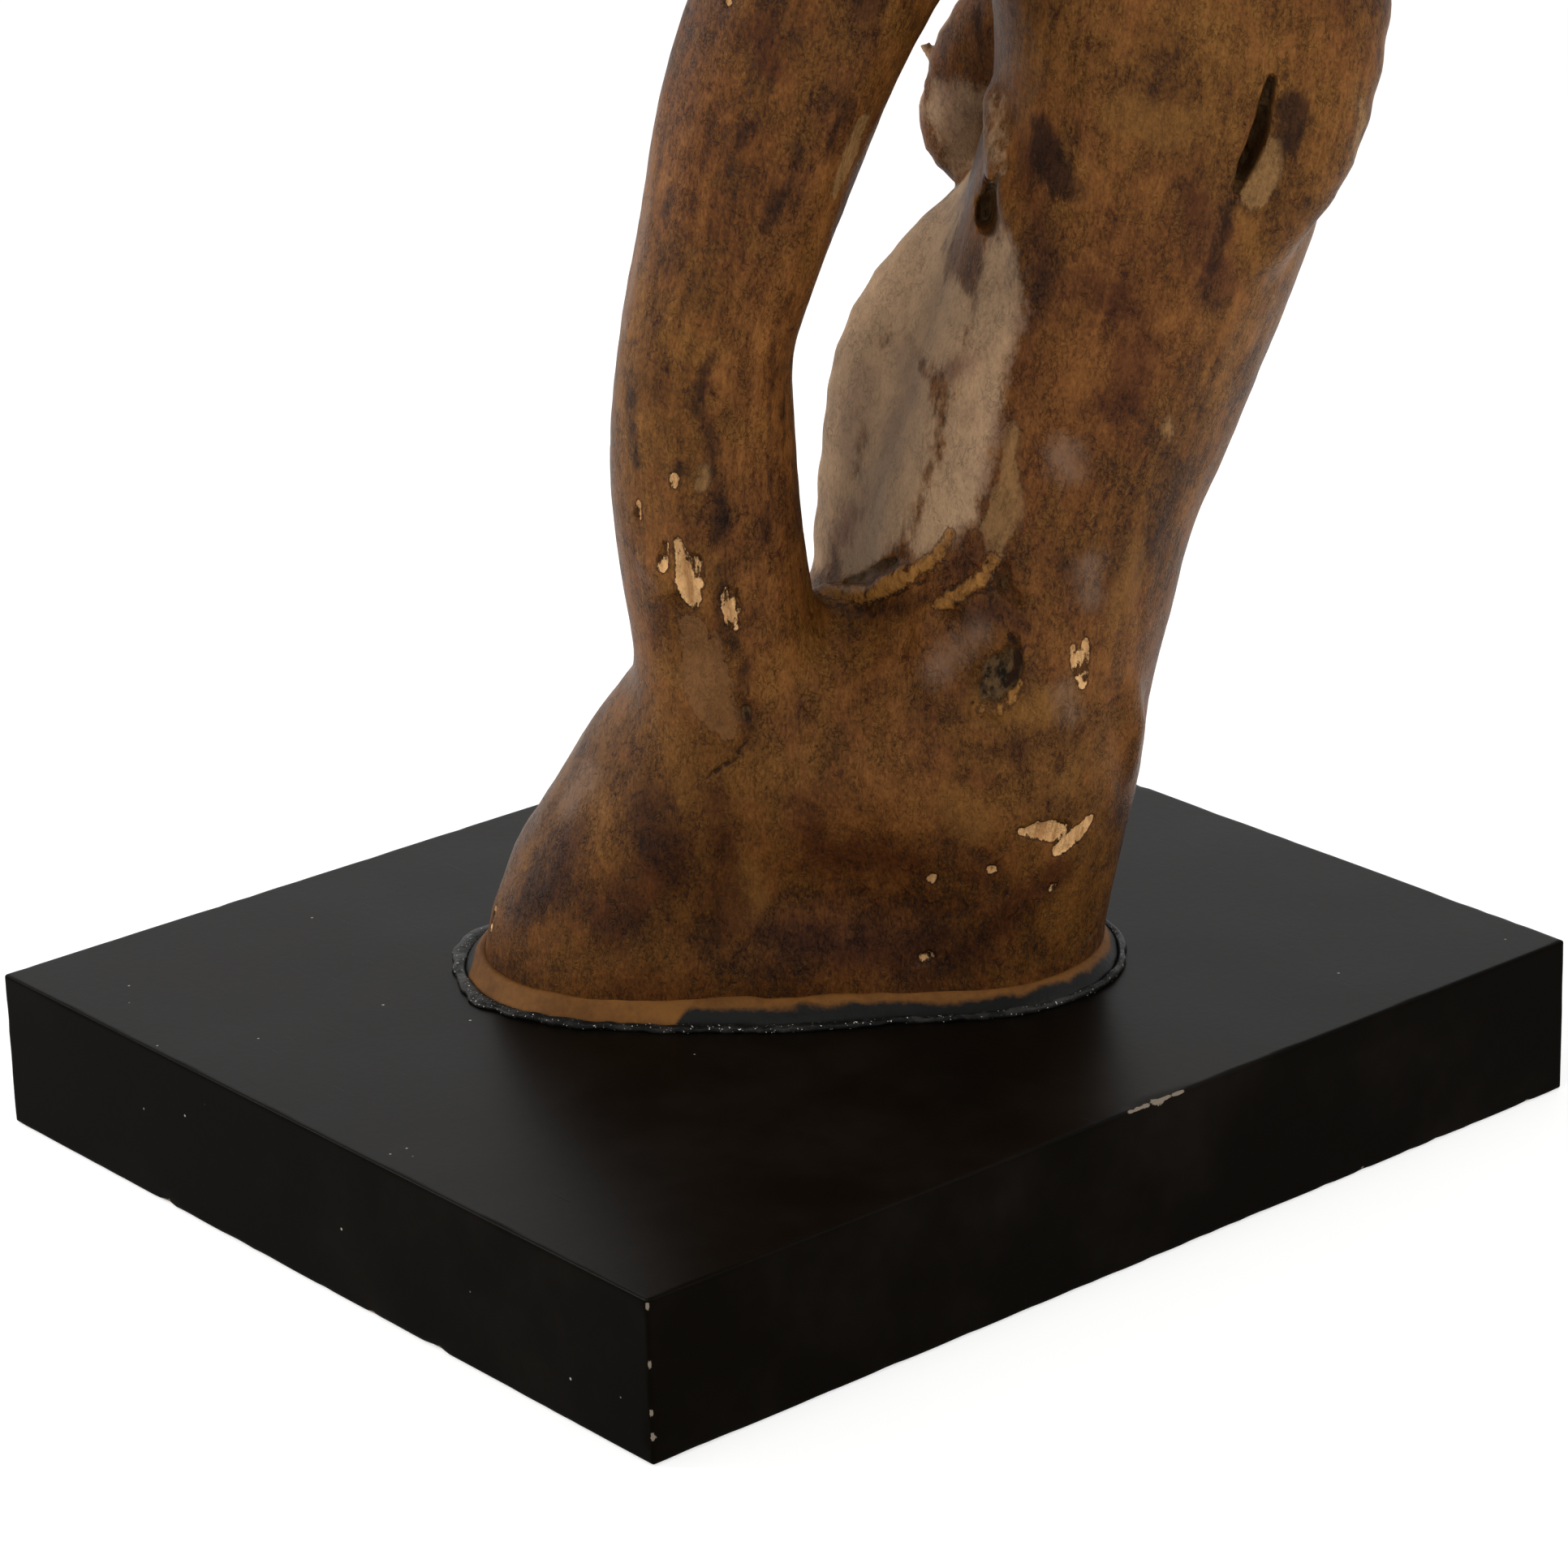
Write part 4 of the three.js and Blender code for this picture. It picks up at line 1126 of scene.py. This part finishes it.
def with_damage(s, wood, skin, hollow, raw_edge):
    """The skin with its broad darker zones, partly painted shade; dark marks, with the painted shadow under
    the ledge; hollows painted dark inside, rot in the knot and painted shade in slits and holes; cracks; and
    raw chips with painted shade round them.
    """
    # Broad darker zones: partly painted shade, partly darker wood.
    skin = s.mix(s.between(edge(s, wood, "shade", 26), -9, 12, 0, 0.95), skin, SHADE_TINT, "MULTIPLY")
    # Dark marks of the wood, and the painted shadow under the ledge's lip.
    skin = s.mix(s.between(edge(s, wood, "stain_and_shadow", 13), -4, 5, 0, 0.92), skin, STAIN_AND_SHADOW_TINT, "MULTIPLY")
    # Narrow hollows painted dark inside: rot in the knot, painted shade elsewhere.
    skin = s.mix(hollow, skin, s.ramp(wood.jagged, [(0.40, HOLLOW_SHADE_AND_ROT_DARK), (0.58, HOLLOW_SHADE_AND_ROT_LIGHT)]))
    skin = s.mix(s.between(edge(s, wood, "crack", 2.4), -0.2, 0.6, 0, 0.93), skin, UMBER)
    # A dark line round each chip: painted shade at its broken edge.
    skin = s.mix(s.times(s.between(raw_edge, -1.8, -0.5), 0.75), skin, EDGE_LINE_AND_CHIP_SHADE_TINT, "MULTIPLY")
    torn = s.ramp(wood.streaks, [(0.38, RAW_DARK), (0.56, RAW_LIGHT)])
    return s.mix(s.between(raw_edge, -0.3, 0.3), skin, torn)


def driftwood_material():
    s = Shader("driftwood")
    wood = wood_patterns(s)
    hollow = s.between(edge(s, wood, "hollow", 4), -1.4, 0.6)
    raw_edge = s.plus(edge(s, wood, "raw", 6), 1.0)
    raw = s.between(raw_edge, -0.3, 0.3)
    skin = with_damage(s, wood, with_patches(s, wood, bare_wood(s, wood)), hollow, raw_edge)
    greyed = s.between(edge(s, wood, "grey", 24), -7, 7, 0, 0.12)
    roughness = s.plus(s.scaled(wood.mottle, 0.25, 0.29), greyed)
    roughness = s.math("MAXIMUM", roughness, s.times(s.math("MAXIMUM", raw, hollow), 0.85))
    height = s.plus(s.scaled(wood.streaks, 0.45), s.scaled(wood.speckle, 0.70), s.scaled(wood.mottle, 0.80),
                    s.scaled(wood.hairs, 0.55))
    height = s.minus(height, s.times(wood.crease, 0.55), s.times(raw, 1.2),
                     s.between(edge(s, wood, "crack", 2.4), -0.7, 0.6, 0, 1.6),
                     s.times(s.times(hollow, wood.jagged), 4.0))
    return s.finish(Base_Color=skin, Roughness=roughness, IOR=WOOD_GLOSS, Normal=s.bump(height, 0.0009, 0.8))


PAINT = (0.0024, 0.0017, 0.0010)
PAINT_RUBBED = (0.0060, 0.0045, 0.0033)
PRIMER = (0.170, 0.138, 0.105)
# Pale specks: dust on the plinth; on the sealant, dust and painted glints.
DUST_AND_GLINT = (0.550, 0.520, 0.470)
DUST_DENSITY = 90
TOP_GLOSS = 1.135  # refractive index of the satin paint on top
SHADED_SIDE_GLOSS = 1.055  # the same on the sides, lower though the paint is the same, so that they reflect less and stay darker: painted shade


def black_paint_material(name, gloss):
    s = Shader(name)
    place = s.place()
    clouds = s.noise(place, 6, 5, 0.6)
    fine = s.noise(place, 160, 3, 0.6)
    scratches = s.noise(place, (14, 900, 30), 2, 0.5)
    wear = s.plus(s.attribute("wear"), s.scaled(fine, 0.9, -0.45))
    skin = s.mix(s.between(clouds, 0.45, 0.75), PAINT, PAINT_RUBBED)
    skin = s.mix(s.between(wear, 0.52, 0.62), skin, PRIMER)
    cells = {"Vector": place, "Scale": DUST_DENSITY, "Randomness": 1.0}
    chance = s.node("SeparateColor", {"Color": s.node("TexVoronoi", cells, "Color")}, "Red")
    specks = s.between(s.node("TexVoronoi", cells, "Distance"), 0.10, 0.05)
    dust = s.times(specks, s.between(chance, 0.955, 0.96))
    skin = s.mix(s.times(dust, 0.5), skin, DUST_AND_GLINT)
    roughness = s.plus(s.scaled(clouds, 0.16, 0.20), s.scaled(fine, 0.06))
    height = s.plus(s.scaled(fine, 0.25), s.scaled(clouds, 0.6))
    height = s.minus(height, s.times(s.between(wear, 0.50, 0.60), 0.8),
                     s.between(scratches, 0.70, 0.78, 0, 0.2))
    return s.finish(Base_Color=skin, Roughness=roughness, IOR=gloss, Normal=s.bump(height, 0.0004, 0.5))


FILLER_LIGHT = (0.150, 0.062, 0.014)
FILLER_DARK = (0.090, 0.036, 0.009)
TAR = (0.0050, 0.0050, 0.0047)
TAR_DUSTY = (0.030, 0.028, 0.025)
TAR_GLOSS = 1.17
FILLER_ROUGHNESS, TAR_ROUGHNESS = 0.62, 0.42


def filler_material():
    s = Shader("brown_filler")
    place = s.place()
    fine = s.noise(place, 260, 3, 0.6)
    tone = s.plus(s.scaled(s.noise(place, 30, 4, 0.6), 0.7), s.scaled(fine, 0.3))
    tarred = s.plus(s.attribute("tar"), s.scaled(s.noise(place, 60, 5, 0.65), 0.9, -0.45))
    tarred = s.between(tarred, 0.30, 0.66)
    skin = s.mix(tarred, s.ramp(tone, [(0.38, FILLER_DARK), (0.62, FILLER_LIGHT)]), TAR)
    roughness = s.scaled(tarred, TAR_ROUGHNESS - FILLER_ROUGHNESS, FILLER_ROUGHNESS)
    return s.finish(Base_Color=skin, Roughness=roughness, IOR=TAR_GLOSS, Normal=s.bump(fine, 0.0005, 0.6))


def sealant_material():
    s = Shader("black_sealant")
    place = s.place()
    clouds = s.noise(place, 50, 4, 0.65)
    skin = s.mix(s.between(clouds, 0.45, 0.70), TAR, TAR_DUSTY)
    # Pale specks on the sealant: partly dust, partly painted glints.
    skin = s.mix(s.between(s.noise(place, 700, 1, 0.5), 0.70, 0.74), skin, DUST_AND_GLINT)
    height = s.plus(clouds, s.scaled(s.noise(place, 420, 3, 0.6), 0.35))
    return s.finish(Base_Color=skin, Roughness=s.scaled(clouds, 0.5, 0.10), IOR=TAR_GLOSS,
                    Normal=s.bump(height, 0.0012, 0.9))


FLOOR_GLOW = 0.62  # keeps the floor as pale far off as near the lights
FLOOR_DARK, FLOOR_LIGHT = (0.49, 0.49, 0.485), (0.52, 0.52, 0.515)


def floor_material():
    s = Shader("pale_floor")
    skin = s.mix(s.noise(s.place(), 3, 3), FLOOR_DARK, FLOOR_LIGHT)
    return s.finish(Base_Color=skin, Roughness=0.9, Specular_IOR_Level=0.1, Emission_Color=(1, 1, 1, 1),
                    Emission_Strength=FLOOR_GLOW)


# ---------------------------------------------------------------- plinth

PLINTH_EDGE = 2.2  # radius of the plinth's edges
PLINTH_CELL = 8.0
EDGE_OFFSETS = (0, 0.8, 1.6, 2.4, 4, 7, 11)  # of the lines that lie closer together near the edges
EDGE_BAND = 16  # how far from an edge the even lines begin
# Worn places on the plinth's edges: x, y, z, radius, depth.
KNOCKS = [
    (315, -365, 96, 3, 1.0), (315, -365, 60, 3, 0.8), (315, -365, 30, 4, 1.2), (315, -365, 18, 5, 1.6),
    (315, -6, 100, 3, 0.8), (315, 8, 100, 6, 1.2), (315, 22, 100, 6, 1.2), (315, 38, 100, 4, 0.8),
    (315, 190, 0, 5, 1.0), (315, 250, 0, 4, 1.0), (315, 330, 0, 4, 1.0), (120, -365, 0, 6, 1.2),
    (60, -365, 0, 4, 1.0), (-150, -365, 0, 6, 1.2), (-60, 365, 100, 4, 1.2), (-315, 120, 100, 4, 1.2),
    (-315, -200, 0, 6, 1.2), (-315, 365, 70, 4, 1.2), (200, 365, 0, 6, 1.2),
]
KNOCK_FADE = 4
KNOCK_WEAR = 0.6
WARP = 0.12  # half of how far the boards' faces swell and sink
SIDE_SLANT = 0.7  # faces that look up less than this bear the shaded copy of the paint


def edge_lines(low, high):
    count = max(2, round((high - low - 2 * EDGE_BAND) / PLINTH_CELL) + 1)
    offsets = np.array(EDGE_OFFSETS)
    return np.r_[low + offsets, np.linspace(low + EDGE_BAND, high - EDGE_BAND, count), high - offsets[::-1]]


def box_surface(lines):
    """Grid points over the six sides of a box, and their quads."""
    points, quads, seen = [], [], {}

    def corner_index(place):
        if place not in seen:
            seen[place] = len(points)
            points.append([lines[i][place[i]] for i in range(3)])
        return seen[place]

    for axis in range(3):
        u, v = (axis + 1) % 3, (axis + 2) % 3
        for level, outward in ((0, False), (len(lines[axis]) - 1, True)):
            for i, j in np.ndindex(len(lines[u]) - 1, len(lines[v]) - 1):
                ring = []
                for a, b in ((0, 0), (1, 0), (1, 1), (0, 1)):
                    place = [0, 0, 0]
                    place[axis], place[u], place[v] = level, i + a, j + b
                    ring.append(corner_index(tuple(place)))
                quads.append(ring if outward else ring[::-1])
    return np.array(points), np.array(quads)


def plinth_wear(points, on_edge):
    """How worn the paint is at each point, and how far the surface has sunk."""
    wear = on_edge * (0.16 + 0.16 * lattice_noise(points / 40, 61) + 0.20 * lattice_noise(points / 9, 62))
    sunk = on_edge * 0.5 * np.clip(lattice_noise(points / 12, 63), 0, 1)
    for x, y, z, radius, depth in KNOCKS:
        near = fade(np.linalg.norm(points - (x, y, z), axis=1) - radius, KNOCK_FADE)
        wear += KNOCK_WEAR * near
        sunk = np.maximum(sunk, depth * near * (0.6 + 0.4 * lattice_noise(points / 4, 64)))
    return wear, sunk + WARP * (1 + lattice_noise(points / 55, 65))


def build_plinth():
    points, quads = box_surface([edge_lines(low, high) for low, high in zip(PLINTH_LOW, PLINTH_HIGH)])
    core = np.clip(points, PLINTH_LOW + PLINTH_EDGE, PLINTH_HIGH - PLINTH_EDGE)
    outward = points - core
    outward /= np.linalg.norm(outward, axis=1, keepdims=True)
    points = core + PLINTH_EDGE * outward
    on_edge = (np.abs(outward) > 0.05).sum(1) > 1
    wear, sunk = plinth_wear(points, on_edge)
    piece = mesh_piece("painted_plinth", (points - outward * sunk[:, None]) * MM, quads)
    set_attribute(piece, "wear", wear)
    finish_piece(piece, "plinth", black_paint_material("satin_black_top", TOP_GLOSS))
    # The sides bear a copy of the same black paint with less gloss: painted shade.
    piece.data.materials.append(black_paint_material("satin_black_sides_shaded", SHADED_SIDE_GLOSS))
    on_side = outward[quads, 2].mean(axis=1) < SIDE_SLANT
    piece.data.polygons.foreach_set("material_index", on_side.astype(np.int32))
    return piece


# ---------------------------------------------------------------- rings round the foot

RING_STEPS = 420
FOOT_SEARCH = 260.0
FOOT_SEARCH_STEPS = 26
RING_NARROWEST = 0.55
FOOT_GAP = 1.0  # from the wood to where the rings' widths are measured from
FILLER_REACH, FILLER_RISE = 16.0, 14.0
# The filler's section, from its outer edge in and up: shares of its reach and rise.
FILLER_SECTION = [(1, 0.0), (0.985, 0.10), (0.86, 0.26), (0.64, 0.46), (0.42, 0.66), (0.22, 0.86),
                  (0.06, 0.98), (-0.04, 1.0)]
TUCK = 3.0  # how far the filler runs into the wood
TAR_EDGE = (20.0, -62.0)  # the filler is bare of tar nearer than this x and on the nose's side of this y
BEAD_WIDTH, BEAD_RISE = 11.0, 6.0
BEAD_START = 0.93  # share of the filler's reach where the bead begins
BEAD_FULLNESS = 0.624
BEAD_LEAN = 0.22  # how much fuller the bead is at the nose's end, and less full at the crest's
BEAD_TURNS = 9


def foot_reach(angles, height):
    """How far the wood reaches from the carving's axis in each direction, at a height above the plinth."""
    ways = np.stack([np.cos(angles), np.sin(angles), np.zeros(len(angles))], 1)
    reach = np.full(len(angles), FOOT_SEARCH)
    for _ in range(FOOT_SEARCH_STEPS):
        points = ways * reach[:, None] + (0, 0, SEAT + height)
        reach -= np.minimum(in_blocks(points, block_distance), 40)
    return reach


def ring_piece(name, angles, rows):
    """A closed ring from its rows of (reach, height), each round the whole ring; and its points."""
    reach, height = (np.stack(values, 1) for values in zip(*rows))
    steps, count = reach.shape
    across = [reach * np.cos(angles)[:, None], reach * np.sin(angles)[:, None]]
    points = np.stack([*across, SEAT + height], -1).reshape(-1, 3)
    i, j = np.meshgrid(np.arange(steps), np.arange(count), indexing="ij")
    after, beside = (i + 1) % steps, (j + 1) % count
    ring = [i * count + j, after * count + j, after * count + beside, i * count + beside]
    quads = np.stack(ring, -1).reshape(-1, 4)
    return mesh_piece(name, turned(points), quads), points


def around(angles, size, seed):
    """Noise along the ring that closes on itself."""
    circle = np.stack([np.cos(angles) * 140, np.sin(angles) * 140, np.full(len(angles), 7.0)], 1)
    return lattice_noise(circle / size, seed)


def tar_on_filler(points):
    """Share of the filler that the black sealant has run over: its lower part, but not on the near left."""
    low = 1 - (points[:, 2] - SEAT) / FILLER_RISE
    bare = fade(points[:, 1] - TAR_EDGE[1], 14) * fade(TAR_EDGE[0] - points[:, 0], 30)
    return np.clip(low * 1.35 - 0.02 - bare, -1, 1)


def build_filler(angles, foot, outer):
    rise = FILLER_RISE * (0.92 + 0.10 * around(angles, 46, 73) + 0.08 * around(angles, 14, 74))
    rows = [(foot + outer * share, rise * level) for share, level in FILLER_SECTION]
    rows = [(foot - FOOT_GAP - TUCK, 0 * rise), *rows, (foot - FOOT_GAP - TUCK - 1, 0.97 * rise)]
    filler, points = ring_piece("foot_filler_fillet", angles, rows)
    set_attribute(filler, "tar", tar_on_filler(points))
    finish_piece(filler, "foot_filler", filler_material())


def build_bead(angles, inner):
    fullness = BEAD_FULLNESS - BEAD_LEAN * np.sin(angles)
    lumps = 1 + 0.24 * around(angles, 22, 75) + 0.26 * around(angles, 7, 76)
    half_width = (BEAD_WIDTH * fullness * lumps + 1) / 2
    height = BEAD_RISE * (0.60 + 0.20 * around(angles, 26, 77) + 0.20 * around(angles, 8, 78))
    rows = [(inner + half_width, 0 * inner)]
    for turn in np.linspace(0, math.pi, BEAD_TURNS):
        rows.append((inner + half_width * (1 + math.cos(turn)), height * math.sin(turn) ** 0.8))
    bead, _ = ring_piece("sealant_bead", angles, rows)
    finish_piece(bead, "black_sealant_bead", sealant_material())


def build_rings():
    angles = np.arange(RING_STEPS) / RING_STEPS * 2 * math.pi
    foot = np.max([foot_reach(angles, h) for h in (0, FILLER_RISE / 2, FILLER_RISE)], axis=0) + FOOT_GAP
    fullness = RING_NARROWEST + (1 - RING_NARROWEST) * np.abs(np.cos(angles))
    wave = 1 + 0.10 * around(angles, 30, 71) + 0.05 * around(angles, 9, 72)
    outer = FILLER_REACH * fullness * wave
    build_filler(angles, foot, outer)
    build_bead(angles, foot + outer * BEAD_START)


# ---------------------------------------------------------------- floor, light and camera

FLOOR_HALF = 14.0
FLOOR_DROP = 0.0005  # how far the floor lies below the plinth
# The photo's camera: place in metres, and the directions of the picture's right and up.
CAMERA_PLACE = (2.43754, -2.03665, 1.42166)
CAMERA_RIGHT = (0.64932, 0.76008, -0.02568)
CAMERA_UP = (-0.25471, 0.24916, 0.93437)
CAMERA_LENS = 127.98
SENSOR = 36.0
# Area lights: place, size, watts, colour.
LIGHTS = [
    ((-2.2, -2.1, 2.0), (1.2, 1.8), 62, (1.0, 0.99, 0.97)),
    ((2.6, 1.9, 1.9), (1.0, 1.8), 30, (1.0, 0.98, 0.95)),
    ((0.6, -0.6, 3.6), (2.0, 2.0), 35, (1.0, 0.99, 0.97)),
]
AIM = Vector((0.05, 0.05, 0.45))
SKY_LOW, SKY_HIGH = (1.0, 1.0, 1.0), (0.30, 0.30, 0.30)
SKY_STRENGTH = 1.12
SKY_FADE = (0.40, 0.75)  # heights between which the sky's pale low part turns into the high one


def build_stage():
    points = np.array([(x, y, -FLOOR_DROP) for x, y in ((-1, -1), (1, -1), (1, 1), (-1, 1))])
    points[:, :2] *= FLOOR_HALF
    floor = mesh_piece("floor", points, np.array([[0, 1, 2, 3]]))
    floor.data.materials.append(floor_material())
    floor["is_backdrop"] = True
    for i, (place, (width, height), watts, tint) in enumerate(LIGHTS):
        light = bpy.data.lights.new(f"softbox_{i}", "AREA")
        light.shape, light.size, light.size_y = "RECTANGLE", width, height
        light.energy, light.color = watts, tint
        lamp = bpy.data.objects.new(light.name, light)
        lamp.location = place
        lamp.rotation_euler = (AIM - lamp.location).to_track_quat("-Z", "Y").to_euler()
        bpy.context.scene.collection.objects.link(lamp)
    build_sky()


def build_sky():
    """Pale all round, brightest near the horizon."""
    world = bpy.data.worlds.new("studio")
    world.use_nodes = True
    nodes, links = world.node_tree.nodes, world.node_tree.links
    way = nodes.new("ShaderNodeTexCoord")
    split = nodes.new("ShaderNodeSeparateXYZ")
    links.new(way.outputs["Generated"], split.inputs[0])
    rise = nodes.new("ShaderNodeMapRange")
    rise.interpolation_type = "SMOOTHSTEP"
    rise.inputs["From Min"].default_value, rise.inputs["From Max"].default_value = SKY_FADE
    links.new(split.outputs["Z"], rise.inputs["Value"])
    blend = nodes.new("ShaderNodeMix")
    blend.data_type = "RGBA"
    blend.inputs[6].default_value = colour(SKY_LOW)
    blend.inputs[7].default_value = colour(SKY_HIGH)
    links.new(rise.outputs[0], blend.inputs[0])
    background = nodes["Background"]
    background.inputs["Strength"].default_value = SKY_STRENGTH
    links.new(blend.outputs[2], background.inputs["Color"])
    bpy.context.scene.world = world


def build_camera():
    camera = bpy.data.cameras.new("camera")
    camera.lens, camera.sensor_width = CAMERA_LENS, SENSOR
    camera.clip_end = 100
    holder = bpy.data.objects.new("camera", camera)
    right, up = Vector(CAMERA_RIGHT), Vector(CAMERA_UP)
    back = right.cross(up)
    turn = Matrix((right, up, back)).transposed()
    holder.matrix_world = Matrix.Translation(CAMERA_PLACE) @ turn.to_4x4()
    bpy.context.scene.collection.objects.link(holder)
    bpy.context.scene.camera = holder
    bpy.context.scene.view_settings.view_transform = "Standard"


build_camera()
build_stage()
build_plinth()
build_rings()
build_carving()

corners = [[list(corner_at) for corner_at in box] for box in (CAD_BOX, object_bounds())]
